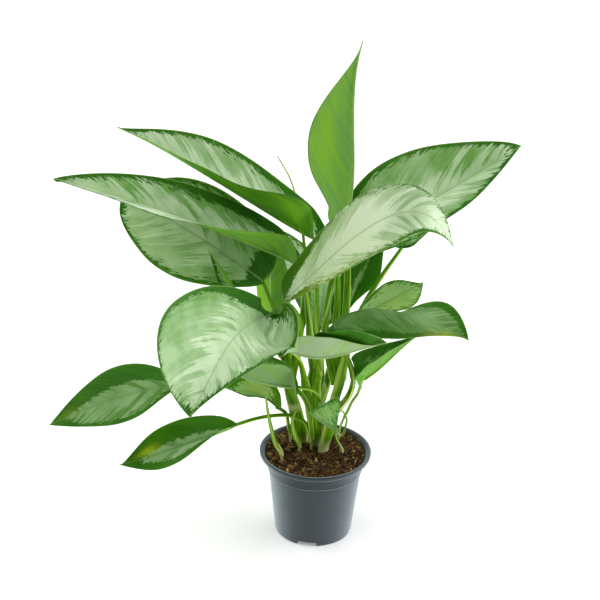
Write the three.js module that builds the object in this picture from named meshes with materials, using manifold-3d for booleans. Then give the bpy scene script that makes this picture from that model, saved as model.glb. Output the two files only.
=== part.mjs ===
// Potted chinese evergreen (a silver-leaved aglaonema) in a plastic nursery pot.
// Units are millimetres and degrees, +Z is up, and the origin is the middle of the pot's underside.
// The pot is a turned shell with a cut foot ring, the soil is a turned plug with a rough top and plain
// holes for the shoots, each shoot is one body of fused leaf stalks, and each leaf blade is a thin
// curved solid that starts face to face with the end of its stalk.
import * as THREE from "three";
import { mergeVertices } from "three/addons/utils/BufferGeometryUtils.js";
import Module from "manifold-3d";

const wasm = await Module();
wasm.setup();

// ---------- driving dimensions ----------
const POT_HEIGHT = 97;
const RIM_RADIUS = 60; // 12 cm class pot, measured over the lip
const LIP_UNDER = POT_HEIGHT - 4.5; // height of the lip's lower edge
const MOUTH_RADIUS = 56; // inside edge of the lip
const THROAT_RADIUS = MOUTH_RADIUS - 1.5; // inside of the wall just below the lip
const THROAT_HEIGHT = LIP_UNDER + 0.6;
const NECK_RADIUS = 51.5; // outside of the wall between the lip and the stacking step
const NECK_INSIDE_HEIGHT = LIP_UNDER - 1.3; // where the inside narrows from the throat to the neck
const STEP_HEIGHT = POT_HEIGHT - 20; // the stacking step, a narrow ledge round the wall
const STEP_INSIDE_HEIGHT = STEP_HEIGHT - 1.5;
const BODY_RADIUS = 49.9; // outside of the wall right under the stacking step
const BASE_RADIUS = 41.5; // outside of the foot ring
const WALL = 1.5;
const FOOT_HEIGHT = 4.8; // how far the floor is raised between the feet
const FOOT_WIDTH = 4; // width of the foot ring
const PAD_RADIUS = 12; // round pad in the middle of the floor, level with the feet
const POT_SIDES = 32;
const NOTCH_COUNT = 4; // gaps between the feet
const NOTCH_TURN = -99.6; // direction of the first notch, in degrees from +X
const NOTCH_WIDTH = 21;
const NOTCH_DEPTH = 9;
const DRAIN_RADIUS = 4;
const DRAIN_CIRCLE = 26; // radius of the circle that the drain holes lie on
const DRAIN_SIDES = 8;
const SOIL_TOP = POT_HEIGHT - 3.5;
const SOIL_RINGS = [46, 36, 26, 16, 7]; // radii of the rings that the soil's rough top is made of
const BURIED = 72; // height of the shoots' lower ends, inside the soil
const GAP = 0.3; // left between pieces that touch
const WALL_GAP = 0.45; // left between the soil and the sloping wall of the pot's throat
const BLADE_ROOM = 0.48; // cut from a shoot all round each blade

const BLADE_THICKNESS = 0.8;
const BLADE_ROWS = 11;
const BLADE_COLUMNS = 6;
const TIGHTEST_ROLL = 1.6; // smallest radius that a leaf margin rolls to
const OPENING = 0.12; // share of its length over which a blade opens out from the stalk's end
const CLOSING = 0.03; // share of its length over which a half that doesn't roll flattens at the tip
const TIP_HALF_WIDTH = 0.7;
const RIB_AT_STALK = 0.8; // depth of the rib under the midrib at the base, as a share of the stalk
const RIB_AT_TIP = 0.2;
const STALK_SIDES = 7;
const STALK_STEP = 26; // length of one straight stretch of a stalk

const FINISHES = {
  pot: { color: 0x4a5257, roughness: 0.45 },
  soil: { color: 0x3f2a1c, roughness: 0.95 },
  stalk: { color: 0x8fb545, roughness: 0.4 },
  silver: { color: 0x9db8a0, roughness: 0.4 },
  green: { color: 0x4f8a35, roughness: 0.4 },
  dark: { color: 0x2f6134, roughness: 0.4 },
};

// ---------- small helpers ----------
const vec = ([x, y, z]) => new THREE.Vector3(x, y, z);
const rad = THREE.MathUtils.degToRad;
const mix = THREE.MathUtils.lerp;

/** A closed mesh from a BufferGeometry, as a manifold solid. */
function toSolid(geometry) {
  const bare = geometry.clone();
  bare.deleteAttribute("normal");
  bare.deleteAttribute("uv");
  const merged = mergeVertices(bare, 1e-4);
  const vertProperties = new Float32Array(merged.getAttribute("position").array);
  const triVerts = new Uint32Array(merged.index.array);
  return new wasm.Manifold(new wasm.Mesh({ numProp: 3, vertProperties, triVerts }));
}

/** A manifold solid back as a BufferGeometry. */
function toGeometry(solid) {
  const mesh = solid.getMesh();
  const geometry = new THREE.BufferGeometry();
  geometry.setAttribute("position", new THREE.BufferAttribute(new Float32Array(mesh.vertProperties), 3));
  geometry.setIndex(new THREE.BufferAttribute(new Uint32Array(mesh.triVerts), 1));
  geometry.computeVertexNormals();
  return geometry;
}

/** A geometry from a flat list of corners, three to a triangle. */
function fromCorners(corners) {
  const geometry = new THREE.BufferGeometry();
  geometry.setAttribute("position", new THREE.Float32BufferAttribute(corners, 3));
  return mergeVertices(geometry, 1e-4);
}

/** A turned solid about +Z from [radius, height] pairs that run up the outside and down the inside. */
function turned(profile, segments) {
  const points = profile.map(([r, z]) => new THREE.Vector2(r, z));
  const geometry = new THREE.LatheGeometry(points, segments);
  geometry.rotateX(Math.PI / 2);
  return geometry;
}

/** An upright cylinder between two heights. */
function post(x, y, z0, z1, radius, sides) {
  const geometry = new THREE.CylinderGeometry(radius, radius, z1 - z0, sides);
  geometry.rotateX(Math.PI / 2);
  geometry.translate(x, y, (z0 + z1) / 2);
  return toSolid(geometry);
}

// ---------- leaf blades ----------
const SIDE = { share: 1, widest: 0.42, taper: [0.65, 1.1], fold: [15, 15, 1], curl: [0, 0], lobe: 0 };

/** Midrib point at t: the cubic that passes its four points at t = 0, 1/3, 2/3 and 1. */
function spineAt(spine, t) {
  const weights = [
    (1 - 3 * t) * (1 - 1.5 * t) * (1 - t),
    9 * t * (1 - 1.5 * t) * (1 - t),
    -4.5 * t * (1 - 3 * t) * (1 - t),
    t * (1 - 3 * t) * (1 - 1.5 * t),
  ];
  const point = new THREE.Vector3();
  weights.forEach((w, k) => point.addScaledVector(vec(spine[k]), w));
  return point;
}

/** Directions at t: along the midrib, out of the upper face, and to the right of the midrib. */
function frameAt(leaf, t) {
  const step = 1e-3;
  const along = spineAt(leaf.spine, t + step).sub(spineAt(leaf.spine, t - step)).normalize();
  const face = vec(leaf.face[0]).normalize().lerp(vec(leaf.face[1]).normalize(), t).normalize();
  const up = face.addScaledVector(along, -face.dot(along)).normalize();
  return { along, up, across: new THREE.Vector3().crossVectors(along, up) };
}

/** Half width of one side at t: a sine hump with its top at side.widest, raised to a power for its taper. */
function halfWidth(leaf, side, t) {
  const lean = Math.log(0.5) / Math.log(side.widest);
  const hump = Math.sin(Math.PI * Math.pow(Math.min(Math.max(t, 1e-4), 1 - 1e-4), lean));
  const power = mix(side.taper[0], side.taper[1], t * t);
  const narrowest = mix(leaf.stalk, TIP_HALF_WIDTH, Math.min(1, t * 6));
  return Math.max((leaf.width / 2) * side.share * Math.pow(hump, power), narrowest);
}

/**
 * Angle at which a half leaves the midrib at t: its fold, eased to flat at the stalk, and also at the
 * tip unless the half is rolled there.
 */
function foldAngle(side, t) {
  const [foldBase, foldTip, ease = 1] = side.fold;
  const opening = THREE.MathUtils.smoothstep(t, 0, OPENING);
  const closing = side.curl[1] === 0 ? THREE.MathUtils.smoothstep(1 - t, 0, CLOSING) : 1;
  return rad(foldTip + (foldBase - foldTip) * Math.pow(1 - t, ease)) * opening * closing;
}

/**
 * A point of the blade's middle surface and its normal. The half blade leaves the midrib at its fold
 * angle and bends on by its curl, so the cross-section is an arc whose ends are in closed form. Near
 * the base the margin is swept back by the lobe. On the midrib the normal lies midway between the two
 * halves' normals.
 */
function bladePoint(leaf, t, d) {
  const side = d < 0 ? leaf.left : leaf.right;
  const sign = d < 0 ? -1 : 1;
  const { along, up, across } = frameAt(leaf, t);
  const width = halfWidth(leaf, side, t);
  const fold = foldAngle(side, t);
  const curlWanted = rad(mix(side.curl[0], side.curl[1], t));
  const curl = Math.sign(curlWanted) * Math.min(Math.abs(curlWanted), width / TIGHTEST_ROLL) || 1e-4;
  const out = Math.abs(d);
  const angle = fold + curl * out;
  const x = (width * (Math.sin(angle) - Math.sin(fold))) / curl;
  const z = (width * (Math.cos(fold) - Math.cos(angle))) / curl;
  const lean = d === 0 ? (foldAngle(leaf.left, t) - fold) / 2 : -sign * angle;
  const normal = across.clone().multiplyScalar(Math.sin(lean)).addScaledVector(up, Math.cos(lean));
  const swept = side.lobe * Math.pow(out, 1.5) * Math.pow(1 - t, 5);
  const point = spineAt(leaf.spine, t).addScaledVector(across, sign * x).addScaledVector(up, z);
  point.addScaledVector(along, -swept);
  return { point, normal };
}

/** One leaf blade as a closed thin solid, grown by `grow` on every side, with its rib on the underside. */
function bladeSolid(leaf, grow = 0) {
  const rows = leaf.rows ?? BLADE_ROWS;
  const columns = leaf.columns ?? BLADE_COLUMNS;
  const top = [];
  const bottom = [];
  for (let i = 0; i <= rows; i += 1) {
    const u = i / rows;
    const t = mix(u, (1 - Math.cos(Math.PI * u)) / 2, 0.5);
    const { along } = frameAt(leaf, t);
    const end = (i === rows ? 1 : 0) - (i === 0 ? 1 : 0);
    for (let j = 0; j <= columns; j += 1) {
      const d = (2 * j) / columns - 1;
      const { point, normal } = bladePoint(leaf, t, d);
      const rib = d === 0 ? mix(leaf.stalk * RIB_AT_STALK, RIB_AT_TIP, Math.sqrt(t)) : 0;
      point.addScaledVector(along, end * grow);
      if (Math.abs(d) === 1) {
        const inward = bladePoint(leaf, t, d * 0.98).point;
        point.addScaledVector(point.clone().sub(inward).normalize(), grow);
      }
      top.push(point.clone().addScaledVector(normal, BLADE_THICKNESS / 2 + grow));
      bottom.push(point.clone().addScaledVector(normal, -BLADE_THICKNESS / 2 - rib - grow));
    }
  }
  const corners = [];
  const put = (...points) => points.forEach((p) => corners.push(p.x, p.y, p.z));
  const at = (i, j) => i * (columns + 1) + j;
  for (let i = 0; i < rows; i += 1) {
    for (let j = 0; j < columns; j += 1) {
      const [a, b, c, d] = [at(i, j), at(i, j + 1), at(i + 1, j + 1), at(i + 1, j)];
      put(top[a], top[b], top[c], top[a], top[c], top[d]);
      put(bottom[a], bottom[c], bottom[b], bottom[a], bottom[d], bottom[c]);
    }
    const [l0, l1, r0, r1] = [at(i, 0), at(i + 1, 0), at(i, columns), at(i + 1, columns)];
    put(top[l0], top[l1], bottom[l1], top[l0], bottom[l1], bottom[l0]);
    put(top[r0], bottom[r0], bottom[r1], top[r0], bottom[r1], top[r1]);
  }
  for (let j = 0; j < columns; j += 1) {
    const [a, b, c, d] = [at(0, j), at(0, j + 1), at(rows, j), at(rows, j + 1)];
    put(top[a], bottom[a], bottom[b], top[a], bottom[b], top[b]);
    put(top[c], top[d], bottom[d], top[c], bottom[d], bottom[c]);
  }
  return toSolid(fromCorners(corners));
}

/**
 * The leaves. spine: midrib points from stalk to tip. face: direction of the upper face at the base and at
 * the tip. left and right are the halves as seen along the midrib from the base, with the upper face up.
 * share: half width, as a share of half the leaf's width. widest: how far along that is.
 * taper: powers that thin the half near the base and near the tip.
 * fold: angle from flat at the midrib, at the base and the tip, with an exponent for how soon it opens.
 * curl: how far the half bends on from midrib to margin, at the base and the tip.
 * lobe: how far the margin is swept back past the stalk's end. stalk: radius of the stalk's end.
 */
const LEAVES = {
  leaf_top_upright: {
    spine: [[15, 14, 342], [29, 16, 402], [27, 20, 473], [34, 26, 544]],
    face: [[-0.6, 0.8, 0.1], [-0.6, 0.8, 0.1]],
    width: 98, finish: "green",
    left: { widest: 0.42, taper: [1.5, 1.7], fold: [50, 50] },
    right: { share: 1.17, widest: 0.42, taper: [1.23, 1.98], fold: [87, 54] },
  },
  leaf_right_upper: {
    spine: [[21, 20, 316], [74, 30, 353], [132, 40, 387], [200, 55, 429]],
    face: [[-0.1, -0.5, 0.85], [0, -0.5, 0.8]],
    width: 116, finish: "silver",
    left: { share: 1.02, widest: 0.45, taper: [0.67, 0.7], fold: [25, 15] },
    right: { share: 0.75, widest: 0.43, taper: [0.75, 0.96], fold: [25, 15] },
  },
  leaf_front_arching: {
    spine: [[-37, -45, 294.5], [16, -75, 366], [74, -95, 415], [124, -90, 378]],
    face: [[-0.6, -0.5, 0.6], [0.5, -0.5, 0.7]],
    width: 74, finish: "silver", rows: 14,
    left: { share: 1, widest: 0.45, taper: [0.17, 0.9], fold: [-5, 0] },
    right: { share: 0.86, widest: 0.55, taper: [0.65, 1.2], fold: [12, -1] },
  },
  leaf_left_upper: {
    spine: [[0, 4, 338], [-72, 12, 377], [-138, 20, 415], [-208, 30, 447]],
    face: [[0, -0.35, 0.94], [0, -0.4, 0.9]],
    width: 84, finish: "silver",
    left: { share: 1.08, widest: 0.31, taper: [1.57, 1.34], fold: [131, 28, 4], curl: [32, 59] },
    right: { share: 0.94, widest: 0.44, taper: [0.34, 1.18], fold: [20, 20], lobe: 5 },
  },
  leaf_left_middle: {
    spine: [[-19, -7, 316.9], [-101.3, -25, 359.8], [-181.4, -36, 393.3], [-261.5, -47, 420.8]],
    face: [[0, -0.35, 0.94], [0, -0.35, 0.94]],
    width: 78, finish: "silver",
    left: { widest: 0.43, taper: [0.53, 0.61], fold: [130, 34, 4.3] },
    right: { share: 0.97, widest: 0.38, taper: [0.46, 0.81], fold: [22, 22], lobe: 1.5 },
  },
  leaf_left_broad: {
    spine: [[-59, -6, 298], [-108, -6, 335], [-155, -8, 365], [-202, -10, 383]],
    face: [[-0.2, -0.7, 0.7], [-0.2, -0.7, 0.7]],
    width: 108, finish: "silver",
    left: { share: 0.94, widest: 0.55, taper: [0.61, 0.47], fold: [4, 4], lobe: 3 },
    right: { share: 0.98, widest: 0.43, taper: [0.33, 0.78], fold: [4, 4], lobe: 3 },
  },
  leaf_front_left: {
    spine: [[-49, -40, 277], [-77, -108, 293], [-95, -176, 294], [-117, -235, 268]],
    face: [[-0.1, -0.3, 0.95], [-0.2, -0.45, 0.85]],
    width: 116, finish: "silver", rows: 14,
    left: { widest: 0.28, taper: [0.52, 1.13], fold: [-75, 10], curl: [104, 0], lobe: -11 },
    right: { share: 1.33, widest: 0.74, taper: [0.35, 0.71], fold: [79, 36], curl: [3, 39], lobe: 11 },
  },
  leaf_low_left: {
    spine: [[-130, -60, 205], [-174, -68, 202], [-222, -78, 189], [-270, -88, 170]],
    face: [[0, -0.5, 0.86], [0, -0.6, 0.8]],
    width: 68, finish: "dark",
    left: { share: 0.91, widest: 0.53, taper: [1.45, 0.98], fold: [8, 8] },
    right: { share: 0.98, widest: 0.46, taper: [1.28, 1], fold: [8, 8] },
  },
  leaf_lowest_left: {
    spine: [[-83, -32, 144], [-115, -45, 135], [-157, -58, 124], [-202, -70, 114]],
    face: [[0, -0.5, 0.86], [0, -0.6, 0.8]],
    width: 62, finish: "dark",
    left: { share: 0.82, widest: 0.56, taper: [1.35, 1.04], fold: [86, -11] },
    right: { share: 0.91, widest: 0.52, taper: [0.56, 1.22], fold: [10, 10] },
  },
  leaf_under_front: {
    spine: [[-20, -32, 190], [-50, -38, 196], [-80, -48, 210], [-106, -56, 226]],
    face: [[0, -0.5, 0.86], [0, -0.6, 0.8]],
    width: 60, finish: "green",
    left: { taper: [0.5, 1.1], fold: [115, 90] },
    right: { taper: [0.5, 1.1], fold: [20, 20] },
  },
  leaf_small_low_left: {
    spine: [[-38, -12, 152], [-58, -14, 170], [-77, -20, 177], [-96, -30, 186]],
    face: [[0, -0.5, 0.86], [0, -0.6, 0.8]],
    width: 44, finish: "green",
    left: { widest: 0.68, taper: [0.35, 2.4], fold: [44, 47] },
    right: { widest: 0.45, taper: [0.8, 1], fold: [10, 10] },
  },
  leaf_right_drooping: {
    spine: [[8, -28, 253], [47, -40, 286.5], [99.5, -52, 283.5], [149, -60, 264]],
    face: [[0, -0.6, 0.8], [0.1, -0.5, 0.85]],
    width: 64, finish: "dark", rows: 14,
    left: { share: 1.16, widest: 0.69, taper: [2.2, 1.02], fold: [-168, 35] },
    right: { share: 1.18, widest: 0.5, taper: [0.38, 1.6], fold: [-18, 38] },
  },
  leaf_small_right: {
    spine: [[27, 0, 242.5], [52, 6, 259.5], [79, 12, 275.5], [106, 18, 290]],
    face: [[0, -0.6, 0.8], [0, -0.7, 0.7]],
    width: 54, finish: "green",
    left: { share: 0.69, widest: 0.63, taper: [0.67, 1.5], fold: [30, -10] },
    right: { share: 0.78, widest: 0.7, taper: [0.6, 0.93], fold: [70, 3] },
  },
  leaf_rolled_front: {
    spine: [[-33, -50, 244.5], [1, -64, 242], [33.5, -74, 255.5], [66, -80, 269]],
    face: [[0, -0.2, 1], [0, -0.2, 1]],
    width: 58, finish: "green", rows: 12, columns: 8,
    left: { share: 1.28, widest: 0.6, taper: [0.7, 0.7], fold: [83, 60], curl: [0, 100] },
    right: { share: 1.18, widest: 0.4, taper: [0.3, 4], fold: [77, 70], curl: [6, 6] },
  },
  leaf_right_trough: {
    spine: [[45, -14, 190], [64, -20, 209], [81, -27, 232], [99, -34, 254]],
    face: [[-0.3, -0.3, 0.9], [-0.3, -0.3, 0.9]],
    width: 62, finish: "green",
    left: { share: 0.92, widest: 0.21, taper: [1.06, 1.08], fold: [30, 94], curl: [64, -56], lobe: 5 },
    right: { widest: 0.35, taper: [0.6, 1.1], fold: [55, 50] },
  },
  leaf_small_front: {
    spine: [[21, -34, 141], [11, -38, 149], [1, -41, 158], [-8, -44, 167]],
    face: [[0.1, -0.7, 0.7], [0.1, -0.7, 0.7]],
    width: 62, stalk: 1.6, finish: "green",
    left: { share: 0.5, widest: 0.33, taper: [0.8, 1], fold: [80, 80] },
    right: { widest: 0.33, taper: [0.8, 1], fold: [5, 5] },
  },
  leaf_right_hidden: {
    spine: [[23, 30, 226], [34, 37, 258], [46, 45, 291], [59, 53, 323]],
    face: [[0.1, -0.9, 0.4], [0.1, -0.9, 0.4]],
    width: 74, finish: "dark",
    left: { share: 0.6, taper: [0.6, 1.1], fold: [8, 8] },
    right: { share: 0.48, widest: 0.65, taper: [2.3, 0.2], fold: [8, 8] },
  },
  leaf_left_upright: {
    spine: [[-40, 0, 240], [-49.1, 5, 271.5], [-50.1, 13, 303.8], [-47.2, 21, 337]],
    face: [[0.3, 0.8, 0.3], [0.3, 0.8, 0.3]],
    width: 40, finish: "green",
    left: { taper: [0.6, 1.1], fold: [12, 12] },
    right: { taper: [0.6, 1.1], fold: [12, 12] },
  },
  leaf_rolled_spear: {
    spine: [[-71, -20, 261], [-84, -22, 289], [-98, -27, 316], [-113, -34, 344]],
    face: [[-0.5, -0.8, 0.2], [-0.5, -0.8, 0.2]],
    width: 32, finish: "green",
    left: { widest: 0.3, taper: [0.6, 1.1], fold: [30, 30], curl: [100, 60] },
    right: { widest: 0.3, taper: [0.6, 1.1], fold: [30, 30], curl: [100, 60] },
  },
  leaf_back_high: {
    spine: [[28, 42, 322], [36, 78, 334], [42, 118, 336], [52, 160, 326]],
    face: [[0, 0, 1], [0, 0.3, 0.95]],
    width: 60, finish: "silver",
    left: { taper: [0.6, 1.1], fold: [12, 12] },
    right: { taper: [0.6, 1.1], fold: [12, 12] },
  },
  leaf_back_right: {
    spine: [[83, 38, 319], [95, 62, 333], [111, 92, 346], [128, 127, 348]],
    face: [[-0.2, 0, 1], [0, 0.2, 0.95]],
    width: 70, finish: "silver",
    left: { taper: [0.6, 1.1], fold: [12, 12] },
    right: { share: 0.8, taper: [0.6, 1.1], fold: [12, 12] },
  },
  leaf_back_left: {
    spine: [[-15, 24, 285], [-45, 62, 300], [-80, 107, 298], [-112, 152, 280]],
    face: [[0, 0, 1], [0, 0.3, 0.95]],
    width: 64, finish: "silver",
    left: { taper: [0.6, 1.1], fold: [12, 12] },
    right: { taper: [0.6, 1.1], fold: [12, 12] },
  },
  leaf_back_low: {
    spine: [[0, 36, 222], [4, 78, 242], [6, 124, 242], [8, 168, 222]],
    face: [[0, 0, 1], [0, 0.3, 0.95]],
    width: 70, finish: "dark",
    left: { taper: [0.9, 1.1], fold: [12, 12] },
    right: { taper: [0.9, 1.1], fold: [12, 12] },
  },
};

for (const leaf of Object.values(LEAVES)) {
  leaf.stalk ??= 2;
  leaf.left = { ...SIDE, ...leaf.left };
  leaf.right = { ...SIDE, ...leaf.right };
}

// ---------- stalks and shoots ----------
/** A tapered tube through [x, y, z, radius] points, grown by `grow` all round and at both ends. */
function stalkSolid(route, grow = 0) {
  const curve = new THREE.CatmullRomCurve3(route.map(vec), false, "centripetal");
  const steps = Math.max(route.length, Math.ceil(curve.getLength() / STALK_STEP)) + 1;
  const frames = curve.computeFrenetFrames(steps, false);
  const chords = route.map((_, k) => (k === 0 ? 0 : vec(route[k]).distanceTo(vec(route[k - 1]))));
  const marks = chords.map((_, k) => chords.slice(0, k + 1).reduce((sum, c) => sum + c, 0));
  const rings = [];
  for (let i = 0; i <= steps; i += 1) {
    const u = i / steps;
    const length = u * marks.at(-1);
    const k = Math.min(marks.findIndex((m) => m >= length - 1e-6) || 1, route.length - 1);
    const share = (length - marks[k - 1]) / (marks[k] - marks[k - 1]);
    const radius = mix(route[k - 1][3], route[k][3], share) + grow;
    const centre = curve.getPointAt(u);
    centre.addScaledVector(frames.tangents[i], i === 0 ? -grow : i === steps ? grow : 0);
    const ring = [];
    for (let s = 0; s < STALK_SIDES; s += 1) {
      const a = (2 * Math.PI * s) / STALK_SIDES;
      const point = centre.clone().addScaledVector(frames.normals[i], radius * Math.cos(a));
      ring.push(point.addScaledVector(frames.binormals[i], radius * Math.sin(a)));
    }
    rings.push({ centre, ring });
  }
  const corners = [];
  const put = (...points) => points.forEach((p) => corners.push(p.x, p.y, p.z));
  for (let s = 0; s < STALK_SIDES; s += 1) {
    const next = (s + 1) % STALK_SIDES;
    for (let i = 0; i < steps; i += 1) {
      const [low, high] = [rings[i].ring, rings[i + 1].ring];
      put(low[s], low[next], high[next], low[s], high[next], high[s]);
    }
    put(rings[0].centre, rings[0].ring[next], rings[0].ring[s]);
    put(rings[steps].centre, rings[steps].ring[s], rings[steps].ring[next]);
  }
  return toSolid(fromCorners(corners));
}

/** The last point of a stalk: in line with its blade's midrib, just short of the blade. */
function stalkEnd(name) {
  const leaf = LEAVES[name];
  const { along } = frameAt(leaf, 0);
  const end = vec(leaf.spine[0]).addScaledVector(along, -1.5 * GAP);
  return [...end.toArray(), leaf.stalk];
}

/** Each shoot: routes of [x, y, z, radius], the first from the soil, and the blade that a route carries. */
const SHOOTS = {
  shoot_main: [
    { route: [[0, 17, BURIED, 6.2], [0, 16, 98, 6.2], [-1, 3, 125, 6.3], [-4, 2, 150, 7.2],
        [-4, 0, 176, 7.4], [-1, -1, 203, 7.3], [-2, 2, 226, 5], [-3, 4, 256, 3.6], [-4, 4, 296, 3]],
      blade: "leaf_left_upper" },
    { route: [[-3, 4, 128, 5], [4, 12, 150, 5], [11, 17, 174, 4.8], [16, 23, 198, 4]],
      blade: "leaf_right_hidden" },
    { route: [[-1, -2, 189, 6], [-7, -3, 219, 4.6], [-11, -6, 261, 4], [-15, -10, 296, 3.2]],
      blade: "leaf_left_middle" },
    { route: [[-4, 4, 158, 6], [2, 16, 184, 5]], blade: "leaf_back_low" },
    { route: [[-6, 0, 146, 4.6], [-11, -6, 170, 4], [-15, -14, 196, 3.4], [-21, -34, 226, 2.4]],
      blade: "leaf_rolled_front" },
  ],
  shoot_right: [
    { route: [[8, 4, BURIED, 6], [8, 4, 97, 6], [12.5, 0, 121, 6.3], [14, 0, 141, 6.2], [17, 1, 159, 6.6],
        [21, 2, 178, 7.5], [24, 4, 196, 7.3], [26, 7, 214, 5.5], [27, 12, 247, 4.6], [28, 22, 280, 3.8],
        [28, 32, 304, 3]], blade: "leaf_back_high" },
    { route: [[25, 6, 197, 6], [34, 14, 229, 3.8], [43, 20, 256, 3.2], [62, 28, 289, 2.8]],
      blade: "leaf_back_right" },
    { route: [[24, 6, 190, 6], [19, 9, 219, 4.4], [17.5, 9, 243, 4], [18, 10, 278, 3.4],
        [16, 12, 310, 2.6]], blade: "leaf_top_upright" },
    { route: [[21, 2, 178, 6], [13, 5, 203, 4.6], [6.5, 8, 234, 4.2], [7, 10, 266, 3.9],
        [12, 13, 292, 3.2]], blade: "leaf_right_upper" },
    { route: [[24, 6, 180, 6], [27, 3, 215, 3.2]], blade: "leaf_small_right" },
    { route: [[14, 0, 139, 5], [23, -4, 152, 4.6], [33, -6, 170, 4.3], [36, -8, 190, 4],
        [30, -14, 214, 3.4], [18, -22, 238, 2.8]], blade: "leaf_right_drooping" },
    { route: [[12, 0, 141, 5], [6, -12, 157, 2.6], [-4, -20, 180, 2.2]], blade: "leaf_under_front" },
  ],
  shoot_left: [
    { route: [[-15, 22, BURIED, 5.6], [-15, 21, 98, 5.6], [-18, 4, 124, 5.8], [-24, 0, 151, 6.2],
        [-29, -4, 176, 6.5], [-30, -6, 202, 6], [-35, -8, 232, 4], [-45, -8, 262, 2.8],
        [-53, -7, 282, 2.4]], blade: "leaf_left_broad" },
    { route: [[-29, -6, 190, 5.5], [-24, -14, 224, 5.4], [-21, -26, 259, 4.8], [-29, -38, 284, 3.2]],
      blade: "leaf_front_arching" },
    { route: [[-30, -10, 198, 3.5], [-34, -25, 241, 2.8], [-40, -36, 266, 2.4]],
      blade: "leaf_front_left" },
    { route: [[-30, -6, 205, 4], [-36, -3, 225, 2.6]], blade: "leaf_left_upright" },
    { route: [[-28, -4, 180, 4], [-20, 14, 230, 3]], blade: "leaf_back_left" },
    { route: [[-31, -8, 205, 4], [-48, -18, 232, 2.4]], blade: "leaf_rolled_spear" },
    { route: [[-20, 14, 225, 2.6], [-12, 22, 270, 2], [-18, 30, 325, 1.6], [-24, 46, 355, 1.3],
        [-34, 60, 384, 1.1], [-48, 66, 407, 0.7]] },
  ],
  shoot_thin: [
    { route: [[-3, 5, BURIED, 2.8], [-3, 5, 97, 2.8], [-7, -10, 123, 2.6], [-12, -10, 136, 2.3],
        [-20, -10, 141, 2.2], [-29, -12, 145, 2.1], [-49, -18, 147, 2], [-65, -25, 147, 2]],
      blade: "leaf_lowest_left" },
    { route: [[-4, -2, 108, 2.8], [-5, -12, 130, 2.6], [-8, -18, 154, 2.3], [-15, -22, 174, 2.2],
        [-24, -19, 182, 2.2], [-33, -18, 186, 2.2], [-44, -13, 189, 2.1], [-66, 0, 194, 2.1],
        [-97, -18, 204, 2], [-118, -42, 206, 2]], blade: "leaf_low_left" },
  ],
  shoot_low_left: [
    { route: [[-26, 20, BURIED, 2.3], [-26, 20, 97, 2.3], [-29, 4, 120, 2.2], [-32, -4, 142, 2]],
      blade: "leaf_small_low_left" },
  ],
  shoot_small_front: [
    { route: [[28, -1, BURIED, 2], [28, -1, 97, 2], [23, -10, 115, 1.9], [21, -18, 127, 1.7]],
      blade: "leaf_small_front" },
  ],
  shoot_small_right: [
    { route: [[25, 36, BURIED, 2.2], [25, 36, 97, 2.1], [28, 24, 119, 2], [33, 14, 137, 1.9],
        [37, 6, 153, 1.9], [42, -4, 168, 1.9], [44, -11, 180, 1.9]], blade: "leaf_right_trough" },
  ],
  sprout_left: [
    { route: [[-34, -16, BURIED, 3.8], [-34, -16, 97, 3.8], [-42, -22, 117, 3.2], [-48, -28, 143, 2.4],
        [-52, -33, 169, 1.6], [-54, -37, 188, 0.7]] },
  ],
  sprout_front: [
    { route: [[-15, 3, BURIED, 3.6], [-15, 1, 97, 3.6], [-22, -22, 127, 3.2], [-25, -26, 146, 2.2],
        [-21, -28, 163, 0.7]] },
  ],
  stem_curled: [
    { route: [[27, 28, BURIED, 1.6], [27, 27, 97, 1.6], [30, 18, 106, 1.5], [32, 13, 118, 1.4],
        [33, 8, 130, 1.2], [29, 4, 141, 1.1], [24, 0, 147, 0.8]] },
  ],
};

/** A route with its end at its blade, if it carries one. */
const wholeRoute = ({ route, blade }) => (blade ? [...route, stalkEnd(blade)] : route);

/** One shoot: its stalks joined into one body, with room cut for the blades that it holds. */
function shootSolid(name, clearOf) {
  const joined = SHOOTS[name].map((part) => stalkSolid(wholeRoute(part))).reduce((a, b) => a.add(b));
  return clearOf.reduce((body, blade) => body.subtract(blade), joined);
}

// ---------- pot and soil ----------
/** The pot: one turned wall with lip, stacking step, feet and pad, then the notches and drain holes. */
function potSolid() {
  const profile = [
    [0, 0], [PAD_RADIUS, 0], [PAD_RADIUS + 1, FOOT_HEIGHT],
    [BASE_RADIUS - FOOT_WIDTH - 1, FOOT_HEIGHT], [BASE_RADIUS - FOOT_WIDTH, 0], [BASE_RADIUS, 0],
    [BODY_RADIUS, STEP_HEIGHT - 1], [BODY_RADIUS + 1, STEP_HEIGHT], [NECK_RADIUS, LIP_UNDER - 2],
    [RIM_RADIUS - 0.4, LIP_UNDER], [RIM_RADIUS, POT_HEIGHT], [MOUTH_RADIUS, POT_HEIGHT - 0.8],
    [THROAT_RADIUS, THROAT_HEIGHT], [NECK_RADIUS - WALL, NECK_INSIDE_HEIGHT],
    [BODY_RADIUS - WALL, STEP_INSIDE_HEIGHT], [BASE_RADIUS - WALL, FOOT_HEIGHT + WALL],
    [0, FOOT_HEIGHT + WALL],
  ];
  let pot = toSolid(turned(profile, POT_SIDES));
  for (let k = 0; k < NOTCH_COUNT; k += 1) {
    const angle = rad(NOTCH_TURN) + (2 * Math.PI * k) / NOTCH_COUNT;
    const notch = new THREE.BoxGeometry(NOTCH_DEPTH, NOTCH_WIDTH, 2 * FOOT_HEIGHT);
    notch.translate(BASE_RADIUS - 1, 0, 0);
    notch.rotateZ(angle);
    pot = pot.subtract(toSolid(notch));
    const between = angle + Math.PI / NOTCH_COUNT;
    const [x, y] = [DRAIN_CIRCLE * Math.cos(between), DRAIN_CIRCLE * Math.sin(between)];
    pot = pot.subtract(post(x, y, -1, FOOT_HEIGHT + WALL + 1, DRAIN_RADIUS, DRAIN_SIDES));
  }
  return pot;
}

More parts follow.
